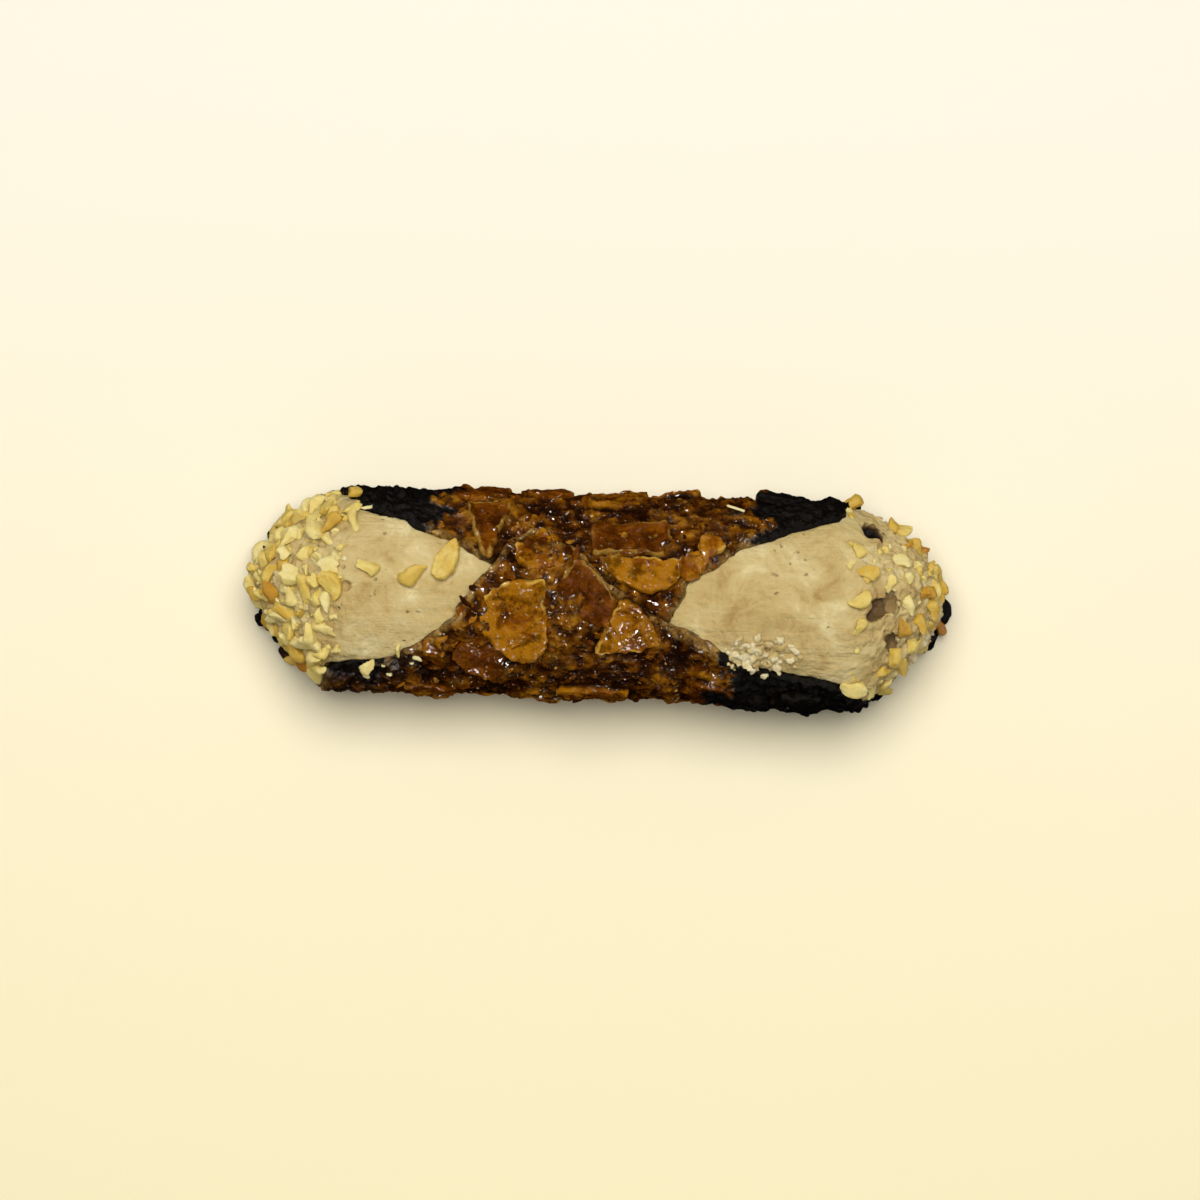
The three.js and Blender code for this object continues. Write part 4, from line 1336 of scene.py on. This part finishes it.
def finish_dipped(tree, shader, coords, colour, roughness, height, height_mm):
    """Finishes a surface with the chocolate laid over it where the piece was dipped."""
    seen = use_group(tree, dip, Vector=coords, Color=colour, Roughness=roughness, Height=height)
    finish_surface(tree, shader, seen["Height"], height_mm, Base_Color=seen["Color"], Roughness=seen["Roughness"])


sugar, sugar_in, sugar_out = open_group(
    "boiled_sugar", {"Vector": "Vector", "Bubbles": "Float"}, {"Height": "Float", "Grain": "Float", "Pools": "Float"}
)
warped = warp(sugar, sugar_in["Vector"], 5 / 3, 1.5)
bubble = spread(sugar, cells(sugar, warped, 1.3), 0.0, 0.55, 1.0, 0.0)
burst = spread(sugar, cells(sugar, warped, 0.55), 0.05, 0.4, 1.0, 0.0)
fine = noise(sugar, warped, 0.35, 2, 0.5)
pools = noise(sugar, warped, 1.3, 2, 0.5)
height = total(sugar, (bubble, sugar_in["Bubbles"]), (fine, 0.12), (pools, 1.3), (burst, 0.22))
put(sugar, sugar_out["Height"], height)
put(sugar, sugar_out["Grain"], spread(sugar, burst, 0.35, 0.9))
put(sugar, sugar_out["Pools"], pools)
print("shared effects:", [g.name for g in bpy.data.node_groups])

# %% [markdown]
# ## Caramel
# Caramel is dark where it is thick and amber where it is thin. Here its tone varies at random, with paler specks of
# almond, and the hollows of its lumps are painted darker and their crests paler, which is painted shade. It is as
# smooth as glass, and smoothest where it has pooled, so the highlights are small and sharp. Its broken edge is pale
# and flaky, since there the almonds inside it show.

# %% The caramel and its broken edge
caramel, tree, coords, shader = open_material("caramel", Specular_IOR_Level=0.35)
boiled = use_group(tree, sugar, Vector=coords, Bubbles=1.0)
grain, hills = noise(tree, coords, 0.75, 4, 0.65), noise(tree, coords, 4.2, 3, 0.55, 0.6)
# depth mixes the caramel's random tone with painted shade from the lumps: darker in hollows, paler on crests.
depth = total(tree, (grain, 0.42), (attribute(tree, "relief_for_shade"), 0.32), (hills, 0.38))
colour = ramp(tree, depth,
    (0.36, 22, 7, 1), (0.48, 52, 22, 2), (0.58, 88, 47, 4), (0.68, 124, 74, 8), (0.8, 170, 118, 26),
)
colour = blend(tree, spread(tree, boiled["Pools"], 0.36, 0.56, 0.7, 0.0), colour, srgb(30, 10, 2))
speck = times(tree, boiled["Grain"], spread(tree, noise(tree, coords, 1.4, 2), 0.5, 0.66))
colour = blend(tree, times(tree, speck, 0.6), colour, srgb(176, 126, 52))
broken = ramp(tree, noise(tree, coords, 0.9, 5, 0.7),
    (0.34, 58, 34, 10), (0.46, 104, 72, 28), (0.58, 146, 112, 54), (0.7, 188, 156, 92),
)
colour = blend(tree, attribute(tree, "edge"), colour, broken)
# Painted shadow of the near flap on the far flap: a near-black strip beside its edge.
colour = blend(tree, times(tree, attribute(tree, "flap_shadow"), 0.9), colour, srgb(20, 7, 1))
gloss = spread(tree, boiled["Pools"], 0.3, 0.55, 0.22, 0.08)
finish_dipped(tree, shader, coords, colour, gloss, boiled["Height"], COAT_BUMP_MM)
wafer.data.materials.append(caramel)
print("caramel nodes:", len(caramel.node_tree.nodes))

# %% [markdown]
# ## Dark chocolate
# Where the dip is thick the surface is only chocolate, so those faces get a material of their own. It has the same
# colours as the shared effect but mirrors less, because set chocolate has a satin face and boiled sugar a glassy one.

# %% The chocolate, and the faces that it covers
COVERED_SHARE = 0.7

chocolate, tree, coords, shader = open_material("dark_chocolate", Specular_IOR_Level=0.11)
finish_dipped(tree, shader, coords, CHOCOLATE, 0.5, 0.0, COAT_BUMP_MM)


def cover_in_chocolate(piece):
    """Marks where the dip reaches, and gives the chocolate to the faces that it covers."""
    paint_dip(piece)
    piece.data.materials.append(chocolate)
    slot = len(piece.data.materials) - 1
    share = piece.data.attributes["dip"].data
    for face in piece.data.polygons:
        if min(share[index].value for index in face.vertices) > COVERED_SHARE:
            face.material_index = slot


cover_in_chocolate(wafer)
print("faces in chocolate:", sum(f.material_index == 1 for f in wafer.data.polygons))

# %% [markdown]
# ## Almond in caramel
# A slice is golden under its glaze, toasted brown in places and pale at its rim, where the bare almond shows. The
# attributes rim and tone were painted on the slices, so the pattern follows each slice and no two look the same.

# %% The glazed almond
ALMOND_BUMP_MM = 0.26

almond, tree, coords, shader = open_material("glazed_almond", Specular_IOR_Level=0.28)
boiled = use_group(tree, sugar, Vector=coords, Bubbles=0.35)
tone, rim = attribute(tree, "tone"), attribute(tree, "rim")
cloudy = noise(tree, coords, 2.2, 6, 0.72, 0.8)
toast = total(tree, (tone, 0.45), (cloudy, 1.1), (attribute(tree, "outer"), 0.14))
colour = ramp(tree, toast,
    (0.46, 24, 8, 1), (0.6, 56, 24, 1), (0.74, 92, 45, 2), (0.9, 124, 68, 2), (1.0, 160, 104, 10),
)
creases = spread(tree, cells(tree, coords, 9.5, "DISTANCE_TO_EDGE"), 0.0, 0.012, 1.0, 0.0)
crease = times(tree, creases, spread(tree, cloudy, 0.5, 0.62))
colour = blend(tree, times(tree, crease, 0.8), colour, srgb(40, 16, 3))
bare = times(tree, spread(tree, rim, 0.45, 0.95), spread(tree, noise(tree, coords, 1.6, 4), 0.42, 0.56))
bare = times(tree, bare, spread(tree, tone, 0.1, 0.8, 0.3, 0.95))
smear = spread(tree, noise(tree, coords, 1.7, 5, 0.68), 0.46, 0.64)
colour = blend(tree, times(tree, smear, 0.75), colour, srgb(54, 23, 1))
colour = blend(tree, times(tree, bare, 0.95), colour, srgb(200, 158, 64))
colour = blend(tree, attribute(tree, "sunk"), colour, srgb(30, 11, 2))
gloss = spread(tree, smear, 0.0, 0.6, 0.2, 0.08)
height = total(tree, (boiled["Height"], 1), (crease, -0.8))
finish_dipped(tree, shader, coords, colour, gloss, height, ALMOND_BUMP_MM)
slices.data.materials.append(almond)
cover_in_chocolate(slices)
print("almond nodes:", len(almond.node_tree.nodes))

# %% [markdown]
# ## Cream
# Whipped cream has a soft satin face with fine lengthwise marks from the palette knife and small pits from its
# air. A little subsurface light keeps its shadows warm. The knife marks are noise stretched along the tube.

# %% The cream's finish
CREAM_BUMP_MM = 0.55
ALONG = (0.09, 1, 1)  # squeezes the pattern's coordinates, so the pattern stretches along the tube

filling, tree, coords, shader = open_material(
    "whipped_cream", Specular_IOR_Level=0.2,
    Subsurface_Weight=0.2, Subsurface_Scale=1.5 * MM, Subsurface_Radius=(1.0, 0.7, 0.4),
)
marks = node(tree, "Mapping", {"Vector": coords, "Scale": ALONG}).outputs["Vector"]
knife = noise(tree, marks, 0.7, 3, 0.6)
cloudy = noise(tree, coords, 3.6, 6, 0.66, 0.4)
fine = noise(tree, coords, 0.35, 3, 0.6)
torn_vector = warp(tree, coords, 5 / 7, 2, detail=3.0)
pit = spread(tree, cells(tree, torn_vector, 2.0), 0.03, 0.2, 1.0, 0.0)
pit = times(tree, pit, spread(tree, noise(tree, coords, 2.6), 0.52, 0.6))
colour = ramp(tree, cloudy,
    (0.32, 172, 142, 84), (0.45, 197, 173, 114), (0.56, 206, 186, 130), (0.7, 226, 212, 162),
)
colour = blend(tree, times(tree, pit, 0.4), colour, srgb(160, 122, 66))
flecks = spread(tree, noise(tree, coords, 1.1, 3), 0.42, 0.6, 0.15, 1.0)
colour = blend(tree, times(tree, attribute(tree, "light"), flecks), colour, srgb(232, 221, 184))
# Painted shade inside the holes: the deeper, the darker, down to near black.
hole_shade = attribute(tree, "hole_shade")
inside = ramp(tree, hole_shade, (0.1, 160, 130, 84), (0.5, 128, 98, 58), (0.78, 84, 58, 32), (1.0, 12, 7, 3))
colour = blend(tree, spread(tree, hole_shade, 0.05, 0.9), colour, inside)
height = total(tree, (knife, 0.6), (fine, 0.35), (noise(tree, coords, 1.5, 3, 0.55), 1.5), (pit, -0.9))
satin = spread(tree, knife, 0.3, 0.7, 0.42, 0.6)
finish_surface(tree, shader, height, CREAM_BUMP_MM, Base_Color=colour, Roughness=satin)
cream.data.materials.append(filling)
cream_bit_piece.data.materials.append(filling)
only(cream)
bpy.ops.object.shade_smooth()
print("cream nodes:", len(tree.nodes))

# %% [markdown]
# ## Nuts
# Blanched almond is pale and waxy where it is cut and golden where it was toasted. The tone that was painted on
# each bit picks its place between the two, and a fine grain keeps the cut faces from looking like plastic.

# %% The nuts' finish
NUT_BUMP_MM = 0.3

nutty, tree, coords, shader = open_material(
    "chopped_nut", Specular_IOR_Level=0.3,
    Subsurface_Weight=0.15, Subsurface_Scale=1 * MM, Subsurface_Radius=(1.0, 0.7, 0.3),
)
cloudy, fine = noise(tree, coords, 1.2, 4, 0.6), noise(tree, coords, 0.25, 3, 0.6)
toast = total(tree, (attribute(tree, "tone"), 0.7), (cloudy, 0.45))
colour = ramp(tree, toast,
    (0.14, 234, 222, 162), (0.38, 224, 202, 114), (0.58, 208, 172, 66), (0.78, 188, 142, 42), (1.0, 168, 108, 28),
)
height = total(tree, (cloudy, 1), (fine, 0.4))
gloss = spread(tree, fine, 0.3, 0.7, 0.4, 0.58)
finish_surface(tree, shader, height, NUT_BUMP_MM, Base_Color=colour, Roughness=gloss)
for piece in (chopped_nuts, crumb_piece):
    piece.data.materials.append(nutty)
for piece in (shard_piece, grain_piece):
    piece.data.materials.append(almond)
    cover_in_chocolate(piece)
print("materials:", [m.name for m in bpy.data.materials])

# %% [markdown]
# ## The floor
# A plain pale floor, a little deeper in colour towards the front, with a faint grain so that it isn't dead flat.

# %% The floor
FLOOR_SIZE = 6
FLOOR_DROP = 0.02 * MM
FLOOR_SHADE = (-0.11, 0.11)  # y from the near colour to the far one

bpy.ops.mesh.primitive_plane_add(size=FLOOR_SIZE, location=(0, 0, -FLOOR_DROP))
floor = bpy.context.object
floor.name = "floor"
floor.visible_glossy = False
freeze(floor)
paper, tree, coords, shader = open_material("pale_floor", Specular_IOR_Level=0.1)
depth = node(tree, "SeparateXYZ", {0: coords}).outputs["Y"]
shade = total(tree, (depth, 1), (noise(tree, coords, 1.5, 3), 4 * MM))
colour = ramp(tree, spread(tree, shade, *FLOOR_SHADE),
    (0.0, 255, 246, 206), (0.5, 255, 247, 218), (1.0, 252, 247, 232),
)
finish_surface(tree, shader, noise(tree, coords, 0.8, 2), 0.01, Base_Color=colour, Roughness=0.8)
floor.data.materials.append(paper)
print("floor in metres:", tuple(floor.dimensions))

# %% [markdown]
# ## Join the model to the frame
# Each piece rides on the body that moves it and stands in for one solid of the CAD model, which is hidden.

# %% Finish
RIDES_ON_WAFER = (wafer, slices, shard_piece, grain_piece)
RIDES_ON_CREAM = (cream, chopped_nuts, crumb_piece, cream_bit_piece)
for piece, node_name in [(p, "wafer") for p in RIDES_ON_WAFER] + [(p, "cream") for p in RIDES_ON_CREAM]:
    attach(piece, BODY)
    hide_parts(node_name)
